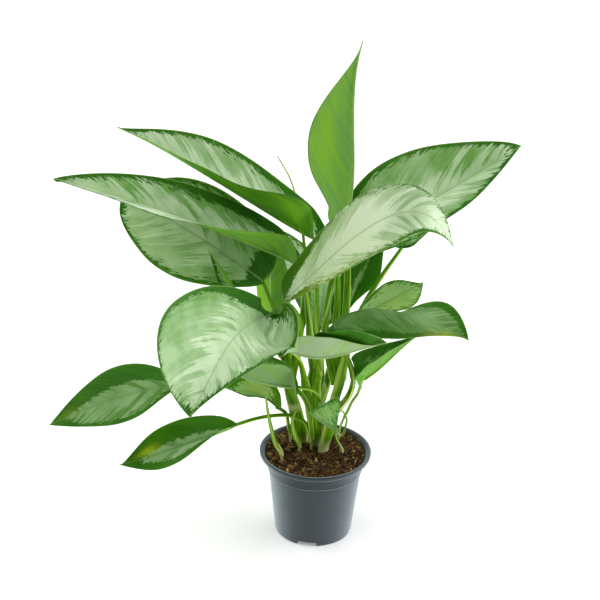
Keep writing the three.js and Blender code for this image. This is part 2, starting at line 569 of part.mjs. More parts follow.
/** Height of the soil's rough top at a point: two crossed waves, together less than 2 mm high. */
function soilHeight(x, y) {
  const coarse = Math.sin(x * 0.19 + 1.3) * Math.cos(y * 0.17 - 0.6);
  const fine = Math.sin(x * 0.43 - y * 0.31 + 2.1);
  return SOIL_TOP + 1.1 * coarse + 0.7 * fine;
}

/** The soil: a turned plug that stays clear of the pot's wall, with a hole for each buried stalk. */
function soilSolid(buried) {
  const floor = FOOT_HEIGHT + WALL + GAP;
  const profile = [
    [0, floor], [BASE_RADIUS - WALL - GAP, floor], [BODY_RADIUS - WALL - GAP, STEP_INSIDE_HEIGHT],
    [NECK_RADIUS - WALL - WALL_GAP, NECK_INSIDE_HEIGHT + GAP],
    [THROAT_RADIUS - WALL_GAP, THROAT_HEIGHT + GAP],
    ...SOIL_RINGS.map((radius) => [radius, SOIL_TOP]), [0, SOIL_TOP],
  ];
  const geometry = turned(profile, POT_SIDES);
  const position = geometry.getAttribute("position");
  for (let i = 0; i < position.count; i += 1) {
    if (Math.abs(position.getZ(i) - SOIL_TOP) < 1e-3) {
      position.setZ(i, soilHeight(position.getX(i), position.getY(i)));
    }
  }
  return buried.reduce((soil, stalk) => soil.subtract(stalk), toSolid(geometry));
}

// ---------- assembly ----------
const plant = new THREE.Group();

function addMesh(name, solid, finish) {
  const material = new THREE.MeshStandardMaterial(FINISHES[finish]);
  const mesh = new THREE.Mesh(toGeometry(solid), material);
  mesh.name = name;
  plant.add(mesh);
}

const buried = Object.values(SHOOTS).map(([first]) => stalkSolid(wholeRoute(first), GAP));
addMesh("pot", potSolid(), "pot");
addMesh("soil", soilSolid(buried), "soil");
const cleared = Object.values(LEAVES).map((leaf) => bladeSolid(leaf, BLADE_ROOM));
for (const name of Object.keys(SHOOTS)) {
  addMesh(name, shootSolid(name, cleared), "stalk");
}
for (const [name, leaf] of Object.entries(LEAVES)) {
  addMesh(name, bladeSolid(leaf), leaf.finish);
}

export default plant;
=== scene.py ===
import math

import bpy
import numpy as np
from mathutils import Matrix, Vector


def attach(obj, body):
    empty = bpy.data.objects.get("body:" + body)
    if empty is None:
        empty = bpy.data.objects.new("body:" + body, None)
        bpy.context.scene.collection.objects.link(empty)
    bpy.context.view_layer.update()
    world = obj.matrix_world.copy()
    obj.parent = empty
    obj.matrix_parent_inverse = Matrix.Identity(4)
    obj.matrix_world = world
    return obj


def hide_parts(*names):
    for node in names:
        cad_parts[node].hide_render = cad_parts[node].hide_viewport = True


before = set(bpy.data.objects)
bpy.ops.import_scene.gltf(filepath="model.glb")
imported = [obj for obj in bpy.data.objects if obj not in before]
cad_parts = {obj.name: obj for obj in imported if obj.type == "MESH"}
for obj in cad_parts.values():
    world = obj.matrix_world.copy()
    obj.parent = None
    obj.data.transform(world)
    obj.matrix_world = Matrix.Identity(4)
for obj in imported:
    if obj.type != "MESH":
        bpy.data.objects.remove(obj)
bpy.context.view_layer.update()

# ---------------------------------------------------------------------------------------------
# Nursery pot: one thin wall of blue-grey polypropylene, injection moulded. It has a flat lip, a
# stacking step under the lip, feet left between notches in the base ring, and four drain holes.
# ---------------------------------------------------------------------------------------------
MM = 0.001
TURN = 2 * math.pi
SHARP_EDGE = math.radians(50)


def smoothed(mesh):
    """Shades a mesh smooth, apart from edges that bend by more than the sharp edge's angle."""
    mesh.shade_smooth()
    mesh.set_sharp_from_angle(angle=SHARP_EDGE)


def skin(name, tubes):
    """
    One mesh object from closed tubes. A tube is a pair: points in millimetres on a grid of rings by
    places round the ring, and a dict of values per point. Neighbours are joined by four-sided faces,
    the last place of a ring to its first, and the first and last rings are filled.
    """
    corners = []
    faces = []
    values = {}
    count = 0
    for points, fields in tubes:
        rings, around = points.shape[:2]
        index = count + np.arange(rings * around).reshape(rings, around)
        ahead = np.roll(index, -1, axis=1)
        quads = np.stack([index[:-1], ahead[:-1], ahead[1:], index[1:]], axis=-1)
        faces += quads.reshape(-1, 4).tolist()
        faces.append(index[0, ::-1].tolist())
        faces.append(index[-1].tolist())
        corners.append(points.reshape(-1, 3))
        for key, field in fields.items():
            values.setdefault(key, []).append(field.reshape(rings * around, -1))
        count += rings * around
    mesh = bpy.data.meshes.new(name)
    mesh.from_pydata((np.concatenate(corners) * MM).tolist(), [], faces)
    for key, parts in values.items():
        whole = np.concatenate(parts).astype(np.float32)
        kind = "FLOAT" if whole.shape[1] == 1 else "FLOAT_VECTOR"
        slot = "value" if kind == "FLOAT" else "vector"
        mesh.attributes.new(key, kind, "POINT").data.foreach_set(slot, whole.ravel())
    smoothed(mesh)
    made = bpy.data.objects.new(name, mesh)
    bpy.context.scene.collection.objects.link(made)
    return made


def linear(code):
    """An sRGB hex colour as linear red, green, blue and full alpha, by the sRGB curve."""
    parts = [int(code[k : k + 2], 16) / 255 for k in (1, 3, 5)]
    curve = [c / 12.92 if c <= 0.04045 else ((c + 0.055) / 1.055) ** 2.4 for c in parts]
    return (*curve, 1.0)


def node(tree, kind, *inputs, **settings):
    """
    Adds a node: settings are its properties, inputs are pairs of a socket and its value or source. To
    fill the first sockets in their order, the pairs come from enumerate.
    """
    made = tree.nodes.new("ShaderNode" + kind)
    for key, value in settings.items():
        setattr(made, key, value)
    for socket, value in inputs:
        if isinstance(value, bpy.types.NodeSocket):
            tree.links.new(value, made.inputs[socket])
        else:
            made.inputs[socket].default_value = value
    return made


def new_material(name):
    """An empty node material: its tree and its surface output socket come back with it."""
    made = bpy.data.materials.new(name)
    made.use_nodes = True
    made.node_tree.nodes.clear()
    output = made.node_tree.nodes.new("ShaderNodeOutputMaterial")
    return made, made.node_tree, output.inputs["Surface"]


POT_HEIGHT = 97.0
RIM_RADIUS = 60.0
MOUTH_RADIUS = 56.0
NECK_RADIUS = 51.5
STEP_HEIGHT = 77.0
BODY_RADIUS = 49.9
BASE_RADIUS = 41.5
POT_WALL = 1.5
FOOT_HEIGHT = 4.8
LIP_UNDER = POT_HEIGHT - 4.5
THROAT_HEIGHT = LIP_UNDER + 0.6
NECK_INSIDE_HEIGHT = LIP_UNDER - 1.3
NOTCH_HALF_ANGLE = math.radians(14.7)
NOTCHES = 4
NOTCH_TURN = math.radians(-99.6)
NOTCH_RAMP = 0.012
DRAIN_CIRCLE = 26.0
DRAIN_RADIUS = 4.0
HOLE_SIDES = 48


def rounded(profile, radius, steps=5):
    """
    A profile with its corners cut round: each inner corner becomes a quadratic curve that starts and
    ends the given radius, or at most 0.45 of the side, away from it.
    """
    points = np.array(profile, float)
    smooth = [points[:1]]
    for before, corner, after in zip(points[:-2], points[1:-1], points[2:]):
        back, ahead = before - corner, after - corner
        r0 = min(radius, 0.45 * np.linalg.norm(back))
        r1 = min(radius, 0.45 * np.linalg.norm(ahead))
        start = corner + back / np.linalg.norm(back) * r0
        end = corner + ahead / np.linalg.norm(ahead) * r1
        s = np.linspace(0, 1, steps)[:, None]
        smooth.append((1 - s) ** 2 * start + 2 * s * (1 - s) * corner + s**2 * end)
    smooth.append(points[-1:])
    return np.concatenate(smooth)


def pot_wall(segments=320):
    """
    The pot's wall: a rounded profile of radius and height turned about +Z. Where the angle lies in a
    notch, points of the foot ring are lifted to the floor's height, with a short ramp at both ends.
    """
    profile = rounded(
        [
            [0.3, 0], [12, 0], [13, FOOT_HEIGHT], [BASE_RADIUS - 5, FOOT_HEIGHT],
            [BASE_RADIUS - 4, 0], [BASE_RADIUS - 0.6, 0], [BASE_RADIUS + 0.1, 0.8],
            [BASE_RADIUS + 0.67, FOOT_HEIGHT + 1], [BASE_RADIUS + 1.02, FOOT_HEIGHT + 4.2],
            [BODY_RADIUS - 0.35, STEP_HEIGHT - 5], [BODY_RADIUS, STEP_HEIGHT - 1],
            [BODY_RADIUS + 1.4, STEP_HEIGHT - 0.3], [BODY_RADIUS + 1.2, STEP_HEIGHT + 0.6],
            [NECK_RADIUS, LIP_UNDER - 2.5],
            [RIM_RADIUS - 3, LIP_UNDER - 0.5], [RIM_RADIUS - 0.4, LIP_UNDER],
            [RIM_RADIUS, POT_HEIGHT - 0.2], [RIM_RADIUS - 2.4, POT_HEIGHT + 0.2],
            [MOUTH_RADIUS, POT_HEIGHT - 0.6], [MOUTH_RADIUS - 1.5, THROAT_HEIGHT],
            [NECK_RADIUS - POT_WALL, NECK_INSIDE_HEIGHT], [BODY_RADIUS - POT_WALL, STEP_HEIGHT - 1.5],
            [BASE_RADIUS - POT_WALL, FOOT_HEIGHT + POT_WALL], [0.3, FOOT_HEIGHT + POT_WALL],
        ],
        1.0,
    )
    angle = np.arange(segments) / segments * TURN
    radius = np.repeat(profile[:, :1], segments, axis=1)
    height = np.repeat(profile[:, 1:], segments, axis=1)
    off_notch = np.abs(((angle - NOTCH_TURN) * NOTCHES / TURN + 0.5) % 1 - 0.5) * TURN / NOTCHES
    lift = np.clip((NOTCH_HALF_ANGLE - off_notch) / NOTCH_RAMP, 0, 1)[None, :]
    foot = (radius > BASE_RADIUS - 5.2) & (height < FOOT_HEIGHT)
    height = np.where(foot, height + lift * (FOOT_HEIGHT - height), height)
    return np.stack([radius * np.cos(angle), radius * np.sin(angle), height], axis=-1)


def bored(piece, posts, radius, z0, z1):
    """The piece with round holes cut through it: upright cylinders at the given places, taken away."""
    angle = np.arange(HOLE_SIDES) / HOLE_SIDES * TURN
    tubes = []
    for x, y in posts:
        ring = np.stack([x + radius * np.cos(angle), y + radius * np.sin(angle), 0 * angle], axis=-1)
        tubes.append((np.stack([ring + [0, 0, z0], ring + [0, 0, z1]]), {}))
    cutter = skin("cutter", tubes)
    cut = piece.modifiers.new("holes", "BOOLEAN")
    cut.object = cutter
    cut.operation = "DIFFERENCE"
    cut.solver = "EXACT"
    bpy.context.view_layer.update()
    seen = piece.evaluated_get(bpy.context.evaluated_depsgraph_get())
    mesh = bpy.data.meshes.new_from_object(seen)
    piece.modifiers.clear()
    piece.data = mesh
    bpy.data.objects.remove(cutter)
    smoothed(mesh)


pot = skin("nursery_pot", [(pot_wall(), {})])
drain_turns = NOTCH_TURN + TURN * (np.arange(NOTCHES) + 0.5) / NOTCHES
drains = DRAIN_CIRCLE * np.stack([np.cos(drain_turns), np.sin(drain_turns)], axis=-1)
bored(pot, drains.tolist(), DRAIN_RADIUS, -1, FOOT_HEIGHT + POT_WALL + 1)

# Polypropylene, moulded in a satin tool: even blue-grey with a soft broad gloss, faint upright draw
# marks from the tool, and dust that lightens it a little. Real draw marks are too fine to show, so
# they are drawn 1.1 mm apart. Patches of dust are about 17 mm wide.
POT_GREY = "#0d141a"
POT_DUST = "#172027"
DRAW_MARKS_PER_M = 900
DUST_PER_M = 60
polypropylene, tree, surface = new_material("polypropylene_blue_grey_moulded")
place = node(tree, "TexCoord").outputs["Object"]
streak_place = node(tree, "Mapping", ("Vector", place), ("Scale", (1, 1, 0.06))).outputs[0]
draw_marks = node(tree, "TexNoise", ("Vector", streak_place), ("Scale", DRAW_MARKS_PER_M), ("Detail", 2))
dust = node(
    tree, "TexNoise", ("Vector", place), ("Scale", DUST_PER_M), ("Detail", 6), ("Roughness", 0.65)
)
dust_share = node(
    tree, "MapRange", ("Value", dust.outputs[0]), ("From Min", 0.45), ("From Max", 0.8)
).outputs[0]
pot_colour = node(
    tree, "Mix", ("Factor", dust_share), (6, linear(POT_GREY)), (7, linear(POT_DUST)), data_type="RGBA"
).outputs[2]
pot_rough = node(
    tree, "MapRange", ("Value", dust.outputs[0]), ("To Min", 0.26), ("To Max", 0.42)
).outputs[0]
pot_bump = node(
    tree, "Bump", ("Height", draw_marks.outputs[0]), ("Distance", 0.00004), ("Strength", 0.5)
).outputs[0]
shader = node(
    tree, "BsdfPrincipled", ("Base Color", pot_colour), ("Roughness", pot_rough), ("Normal", pot_bump),
    ("IOR", 1.49), ("Specular IOR Level", 0.2), ("Sheen Weight", 1.0), ("Sheen Roughness", 0.52),
    ("Sheen Tint", linear("#deeef8")),
)
tree.links.new(shader.outputs[0], surface)
pot.data.materials.append(polypropylene)
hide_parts("pot")
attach(pot, "root")

# ---------------------------------------------------------------------------------------------
# Potting soil: ground coir and bark, moist and dark, pressed in to about 3 mm under the rim. The
# top is rough, with loose crumbs, chips and pale fibres of coconut husk lying every way.
# ---------------------------------------------------------------------------------------------
SOIL_TOP = 93.5
SOIL_EDGE = 54.0
UNDER_GAP = 0.35
SIDE_GAP = 0.4
NECK_GAP = 0.5
THROAT_GAP = 0.3
EDGE_RISE = 0.35
BIT_EDGE_GAP = 1.2
BIT_WALL_GAP = 0.4
BIT_LIFT = 0.35
BIT_SINK = 0.3
BIT_TILT = 0.22


def soil_height(x, y):
    """
    Height of the rough top: two crossed waves as the solid has them, and on these five finer ones, each
    1.7 times as fine as the one before, which make crumbs from 6 mm down to under 1 mm wide.
    """
    coarse = 1.1 * np.sin(x * 0.19 + 1.3) * np.cos(y * 0.17 - 0.6)
    fine = 0.7 * np.sin(x * 0.43 - y * 0.31 + 2.1)
    crumbs = np.zeros_like(x)
    for k in range(5):
        pitch = 0.5 * 1.7**k
        turn = 1.3 * k + 0.4
        u = x * math.cos(turn) + y * math.sin(turn)
        v = y * math.cos(turn) - x * math.sin(turn)
        bend = 1.7 * np.sin(v * pitch * 0.6 + k)
        crumbs += 0.75 / 1.35**k * np.abs(np.sin(u * pitch + bend) * np.cos(v * pitch * 1.1 + bend))
    return SOIL_TOP - 0.8 + coarse + fine + crumbs


def soil_plug(segments=260):
    """The soil's closed surface: underside and side turned about +Z, then fine rings over its rough top."""
    floor = FOOT_HEIGHT + POT_WALL + UNDER_GAP
    wall = [
        [0.3, floor], [BASE_RADIUS - POT_WALL - SIDE_GAP, floor],
        [BODY_RADIUS - POT_WALL - SIDE_GAP, STEP_HEIGHT - 1.5],
        [NECK_RADIUS - POT_WALL - NECK_GAP, NECK_INSIDE_HEIGHT + THROAT_GAP],
        [SOIL_EDGE, THROAT_HEIGHT + THROAT_GAP],
    ]
    top = np.linspace(SOIL_EDGE - 0.2, 0.3, 80)
    radius = np.concatenate([np.array(wall)[:, 0], top])[:, None]
    angle = (np.arange(segments) / segments * TURN)[None, :]
    x, y = radius * np.cos(angle), radius * np.sin(angle)
    flat = np.concatenate([np.array(wall)[:, 1], np.full(top.shape, SOIL_TOP)])[:, None] + 0 * angle
    rim = THROAT_HEIGHT + EDGE_RISE
    rough = rim + (soil_height(x, y) - rim) * np.clip((SOIL_EDGE - radius) / 2.5, 0, 1)
    on_top = (np.arange(len(radius)) >= len(wall))[:, None]
    return np.stack([x, y, np.where(on_top, rough, flat)], axis=-1)


def coir_bits(count, length, thick, bend, seed):
    """
    Loose bits as bent three-sided slivers: each follows a parabola of random length and direction that
    lies on the soil, and its triangular ring shrinks to a fifth at both ends along an ellipse.
    """
    seeded = np.random.default_rng(seed)
    far = (SOIL_EDGE - BIT_EDGE_GAP) * np.sqrt(seeded.random(count))
    turn = seeded.random(count) * TURN
    x, y = far * np.cos(turn), far * np.sin(turn)
    heading = seeded.random(count) * TURN
    rise = seeded.normal(0, BIT_TILT, count)
    long = length * (0.35 + seeded.random(count) ** 2)
    wide = thick * (0.5 + seeded.random(count))
    crook = bend * seeded.normal(0, 1, count) * long
    tone = seeded.random(count)
    s = np.linspace(-1, 1, 5)[None, :]
    along = np.stack([np.cos(heading), np.sin(heading)], axis=-1)
    side = np.stack([-along[:, 1], along[:, 0]], axis=-1)
    offset = s[..., None] * (long / 2)[:, None, None] * along[:, None, :]
    offset = offset + (s**2)[..., None] * crook[:, None, None] * side[:, None, :]
    px, py = x[:, None] + offset[..., 0], y[:, None] + offset[..., 1]
    reach = np.hypot(px, py)
    squeeze = np.minimum(1, (SOIL_EDGE - BIT_WALL_GAP) / reach)
    px, py = px * squeeze, py * squeeze
    pz = soil_height(x, y)[:, None] + BIT_LIFT + rise[:, None] * s * long[:, None] / 2
    pz = np.maximum(pz, soil_height(px, py) - BIT_SINK)
    centre = np.stack([px, py, pz], axis=-1)
    thin = wide[:, None] * np.sqrt(np.clip(1 - 0.96 * s**2, 0, 1))
    tubes = []
    around = np.arange(3) / 3 * TURN
    ring = np.cos(around)[:, None] * np.array([0, 0, 0.6]) + 0 * around[:, None]
    for k in range(count):
        across = np.array([side[k, 0], side[k, 1], 0.0])
        section = ring + np.sin(around)[:, None] * across
        points = centre[k][:, None, :] + thin[k][:, None, None] * section[None]
        tubes.append((points, {"tone": np.full(points.shape[:2], tone[k])}))
    return tubes


soil = skin("coir_soil", [(soil_plug(), {})])
fibres = coir_bits(800, length=11.0, thick=0.34, bend=0.18, seed=11)
chips = coir_bits(1200, length=6.5, thick=1.3, bend=0.1, seed=12)
soil_bits = skin("coir_bits", fibres + chips)

# Coir and bark: matt, dark red-brown where moist, tan where a fibre or a torn chip has dried. Clods
# are about 4 mm wide, and grit about 0.7 mm.
CLODS_PER_M = 260
GRIT_PER_M = 1400
SOIL_DARK = "#150c05"
SOIL_WARM = "#4c3115"
HUSK_BROWN = "#6b4a22"
HUSK_TAN = "#94703a"
HUSK_PALE = "#c4a064"
coir, tree, surface = new_material("coir_bark_ground_moist")
place = node(tree, "TexCoord").outputs["Object"]
clods = node(
    tree, "TexNoise", ("Vector", place), ("Scale", CLODS_PER_M), ("Detail", 5), ("Roughness", 0.7)
)
clod_share = node(
    tree, "MapRange", ("Value", clods.outputs[0]), ("From Min", 0.35), ("From Max", 0.75)
).outputs[0]
soil_colour = node(
    tree, "Mix", ("Factor", clod_share), (6, linear(SOIL_DARK)), (7, linear(SOIL_WARM)), data_type="RGBA"
).outputs[2]
grit = node(tree, "TexNoise", ("Vector", place), ("Scale", GRIT_PER_M), ("Detail", 3))
soil_bump = node(tree, "Bump", ("Height", grit.outputs[0]), ("Distance", 0.0005)).outputs[0]
shader = node(
    tree, "BsdfPrincipled", ("Base Color", soil_colour), ("Roughness", 0.9), ("Normal", soil_bump),
    ("Specular IOR Level", 0.25),
)
tree.links.new(shader.outputs[0], surface)
soil.data.materials.append(coir)

husk, tree, surface = new_material("coconut_husk_shredded_dry")
tone = node(tree, "Attribute", attribute_name="tone").outputs["Fac"]
tones = node(tree, "ValToRGB", ("Fac", tone))
ramp = tones.color_ramp
ramp.elements[0].color = linear(SOIL_DARK)
ramp.elements[1].color = linear(HUSK_PALE)
for position, code in ((0.35, SOIL_WARM), (0.7, HUSK_BROWN), (0.9, HUSK_TAN)):
    ramp.elements.new(position).color = linear(code)
shader = node(
    tree, "BsdfPrincipled", ("Base Color", tones.outputs[0]), ("Roughness", 0.8),
    ("Specular IOR Level", 0.3),
)
tree.links.new(shader.outputs[0], surface)
soil_bits.data.materials.append(husk)
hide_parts("soil")
for piece in (soil, soil_bits):
    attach(piece, "root")

# ---------------------------------------------------------------------------------------------
# Leaf blades: each is one living sheet about half a millimetre thick, grown from the end of its
# stalk. A rib runs down the middle, side veins arch from it to the margin, and the upper face is
# marked silver and dark green. All are folded, curled or arched by the same few numbers.
# ---------------------------------------------------------------------------------------------
PLAIN_HALF = {
    "share": 1, "widest": 0.42, "taper": (0.6, 1.1), "fold": (12, 12), "curl": (0, 0), "lobe": 0,
}
TIGHTEST_ROLL = 1.6
OPENING = 0.12
CLOSING = 0.03
BLADE_ROWS = 120
BLADE_COLUMNS = 44
VEIN_PITCH = 7.5
ON_MARGIN = 0.9999
HALF_THICK = 0.27
MARGIN_THINNING = 0.1
GROOVE_DEPTH = 0.55
GROOVE_REACH = 1.6
QUILT_HEIGHT = 0.1
RIPPLE_HEIGHT = 0.9


def spine_at(spine, t):
    """Points of the midrib: the cubic that passes its four points at t = 0, 1/3, 2/3 and 1."""
    weights = [
        (1 - 3 * t) * (1 - 1.5 * t) * (1 - t),
        9 * t * (1 - 1.5 * t) * (1 - t),
        -4.5 * t * (1 - 3 * t) * (1 - t),
        t * (1 - 3 * t) * (1 - 1.5 * t),
    ]
    return sum(w[..., None] * np.array(p, float) for w, p in zip(weights, spine))


def unit(v):
    """Vectors cut or stretched to length 1."""
    return v / np.maximum(np.linalg.norm(v, axis=-1, keepdims=True), 1e-9)


def blade_frame(leaf, t):
    """Directions at t: along the midrib, out of the upper face, and to the right of the midrib."""
    along = unit(spine_at(leaf["spine"], t + 1e-3) - spine_at(leaf["spine"], t - 1e-3))
    base, tip = (unit(np.array(v, float)) for v in leaf["face"])
    face = unit(base + (tip - base) * t[..., None])
    up = unit(face - along * np.sum(face * along, axis=-1, keepdims=True))
    return along, up, np.cross(along, up)


def half_width(leaf, side, t):
    """Half width of one side: a sine hump with its top at side.widest, raised to a power for its taper."""
    lean = math.log(0.5) / math.log(side["widest"])
    hump = np.sin(math.pi * np.clip(t, 1e-4, 1 - 1e-4) ** lean)
    power = side["taper"][0] + (side["taper"][1] - side["taper"][0]) * t * t
    stalk = leaf.get("stalk", 2.0)
    narrowest = stalk + (0.7 - stalk) * np.minimum(1, t * 6)
    return np.maximum(leaf["width"] / 2 * side["share"] * hump**power, narrowest)


def fold_angle(side, t):
    """
    Angle at which a half leaves the midrib: its fold, eased to flat at the stalk by a smooth step, and
    also at the tip unless the half is rolled there.
    """
    opening = np.clip(t / OPENING, 0, 1)
    closing = np.clip((1 - t) / CLOSING, 0, 1) if side["curl"][1] == 0 else 1.0
    ends = opening * opening * (3 - 2 * opening) * closing * closing * (3 - 2 * closing)
    fold_base, fold_tip, power = (*side["fold"], 1)[:3]
    return np.radians(fold_tip + (fold_base - fold_tip) * (1 - t) ** power) * ends


def half_blade(leaf, side, sign, t, out):
    """
    Points and normals of one half of the middle surface. The half leaves the midrib at its fold angle
    and bends on by its curl, so its cross-section is an arc: x is the integral of the cosine and z of
    the sine of an angle that grows evenly from fold to fold plus curl. Near the base the points are
    swept back by the lobe, more so towards the margin.
    """
    along, up, across = blade_frame(leaf, t)
    width = half_width(leaf, side, t)
    fold = fold_angle(side, t)
    wanted = np.radians(side["curl"][0] + (side["curl"][1] - side["curl"][0]) * t)
    curl = np.sign(wanted) * np.minimum(np.abs(wanted), width / TIGHTEST_ROLL)
    curl = np.where(np.abs(curl) < 1e-4, 1e-4, curl)
    angle = fold + curl * out
    x = width * (np.sin(angle) - np.sin(fold)) / curl
    z = width * (np.cos(fold) - np.cos(angle)) / curl
    swept = side["lobe"] * out**1.5 * (1 - t) ** 5
    points = spine_at(leaf["spine"], t) + (sign * x)[..., None] * across + z[..., None] * up
    points = points - swept[..., None] * along
    normal = (-sign * np.sin(angle))[..., None] * across + np.cos(angle)[..., None] * up
    return points, normal, width


def spots(places, d, t):
    """
    A sum of soft spots over a blade. Each is given by its middle (share of the half width, negative to
    the left, and share of the length), its reach both ways and its height, and falls off as a Gauss bell.
    """
    total = np.zeros_like(t)
    for middle_d, middle_t, reach_d, reach_t, height in places:
        total += height * np.exp(-(((d - middle_d) / reach_d) ** 2) - ((t - middle_t) / reach_t) ** 2)
    return total


def blade(leaf, seed):
    """
    The closed surface of a blade as rings across it, each over the upper face from left to right margin
    and back over the underside. Height over the middle surface is half the thickness, plus a groove
    along the rib above and a half-round rib below, plus a quilting wave from vein to vein, plus a slow
    ripple that grows with the square of the distance from the midrib.
    """
    seeded = np.random.default_rng(seed)
    columns = leaf.get("columns", BLADE_COLUMNS)
    u = np.linspace(0, 1, BLADE_ROWS + 1)
    t = (u + (1 - np.cos(math.pi * u)) / 2) / 2
    s = np.linspace(-1, 1, columns + 1)
    d = s * (0.4 + 0.6 * np.abs(s)) ** 0.8
    d = np.concatenate([d, d[-2:0:-1]])
    upper = np.concatenate([np.ones(columns + 1), -np.ones(columns - 1)])
    t, d = np.meshgrid(t, d, indexing="ij")
    upper = upper[None, :] + 0 * t
    left, left_normal, left_width = half_blade(leaf, leaf["left"], -1, t, np.abs(d))
    right, right_normal, right_width = half_blade(leaf, leaf["right"], 1, t, np.abs(d))
    on_left = (d < 0)[..., None]
    points = np.where(on_left, left, right)
    normal = np.where(on_left, left_normal, right_normal)
    _, up, across = blade_frame(leaf, t)
    lean = ((fold_angle(leaf["left"], t) - fold_angle(leaf["right"], t)) / 2)[..., None]
    normal = np.where((np.abs(d) < 1e-9)[..., None], np.sin(lean) * across + np.cos(lean) * up, normal)
    width = np.where(d < 0, left_width, right_width)
    midrib = spine_at(leaf["spine"], np.linspace(0, 1, 60))
    length = np.sum(np.linalg.norm(np.diff(midrib, axis=0), axis=-1))
    from_rib = np.abs(d) * width
    vein = (t * length - from_rib * (0.8 + 0.5 * np.abs(d) + 0.5 * t)) / VEIN_PITCH
    ends = np.minimum(t * length, (1 - t) * length)
    edge = np.minimum((1 - np.abs(d)) * width, np.maximum(ends, 0) * 0.6 + 0.2)
    stalk = leaf.get("stalk", 2.0)
    rib_radius = (stalk * (1 - t) ** 0.7 + 0.25) * np.clip(0.4 + t * 8, 0.4, 1)
    rib = np.sqrt(np.clip(1 - (from_rib / (rib_radius * 1.1)) ** 2, 0, 1)) * rib_radius * 0.85
    groove = -GROOVE_DEPTH * np.exp(-((from_rib / GROOVE_REACH) ** 2)) * (1 - t) * np.clip(t * 10, 0, 1)
    quilt = QUILT_HEIGHT * np.cos(TURN * vein) * np.clip(from_rib / 8, 0, 1) * np.clip(edge / 6, 0, 1)
    ripple = 0 * t
    for k in range(3):
        phase, turn = seeded.random(2) * TURN
        ripple += np.sin(TURN * (1.3 + k * 1.1) * t + phase + np.sign(d) * turn) / (1 + 0.6 * k)
    ripple *= RIPPLE_HEIGHT * d * d * np.sin(math.pi * t) ** 0.7 * np.clip(width / 30, 0, 1)
    thick = np.where(np.abs(d) > ON_MARGIN, 0.0, HALF_THICK - MARGIN_THINNING * np.abs(d))
    lift = quilt + ripple + np.where(upper > 0, thick + groove, -thick - rib)
    points = points + lift[..., None] * normal
    silver = edge - leaf.get("rim", 4.0) + spots(leaf.get("zones", ()), d, t)
    # Painted light and shade: each leaf's level plus its soft spots, above zero paler and below zero darker,
    # goes to the material in cast.
    light = leaf.get("light", 0.0) + spots(leaf.get("painted_light_spots", ()), d, t)
    gold = spots(leaf.get("gold", ()), d, t)
    fields = {
        "run": np.stack([vein, from_rib, np.full_like(t, seed * 3.7)], axis=-1),
        "lie": np.stack([silver, from_rib, edge], axis=-1),
        "cast": np.stack([light, np.full_like(t, leaf.get("deep", 0.7)), gold], axis=-1),
        "upper": upper,
    }
    return points, fields


# Living leaf, waxy: the skin gives a broad soft gloss, and light that enters comes out again greener
# and lighter. Silver is air under the skin, in feathered streaks that follow the side veins. Each
# noise has a stretch over vein pitches, over mm from the rib and over the blade's number, then its
# detail and roughness. Islands come out 3 to 4 mm wide and soft patches about 24 mm. The skin's grain
# is too fine to show, so it is drawn half a millimetre wide.
LEAF_NOISES = {
    "feather": ((1.1, 0.24, 1), 5, 0.85),
    "islands": ((1.9, 0.3, 1), 3, 0.6),
    "flame": ((0.75, 0.02, 1), 5, 0.66),
    "cloud": ((0.35, 0.03, 1), 2, 0.5),
    "grain": ((14, 0.8, 1), 3, 0.5),
}
PATCHES_PER_M = 42


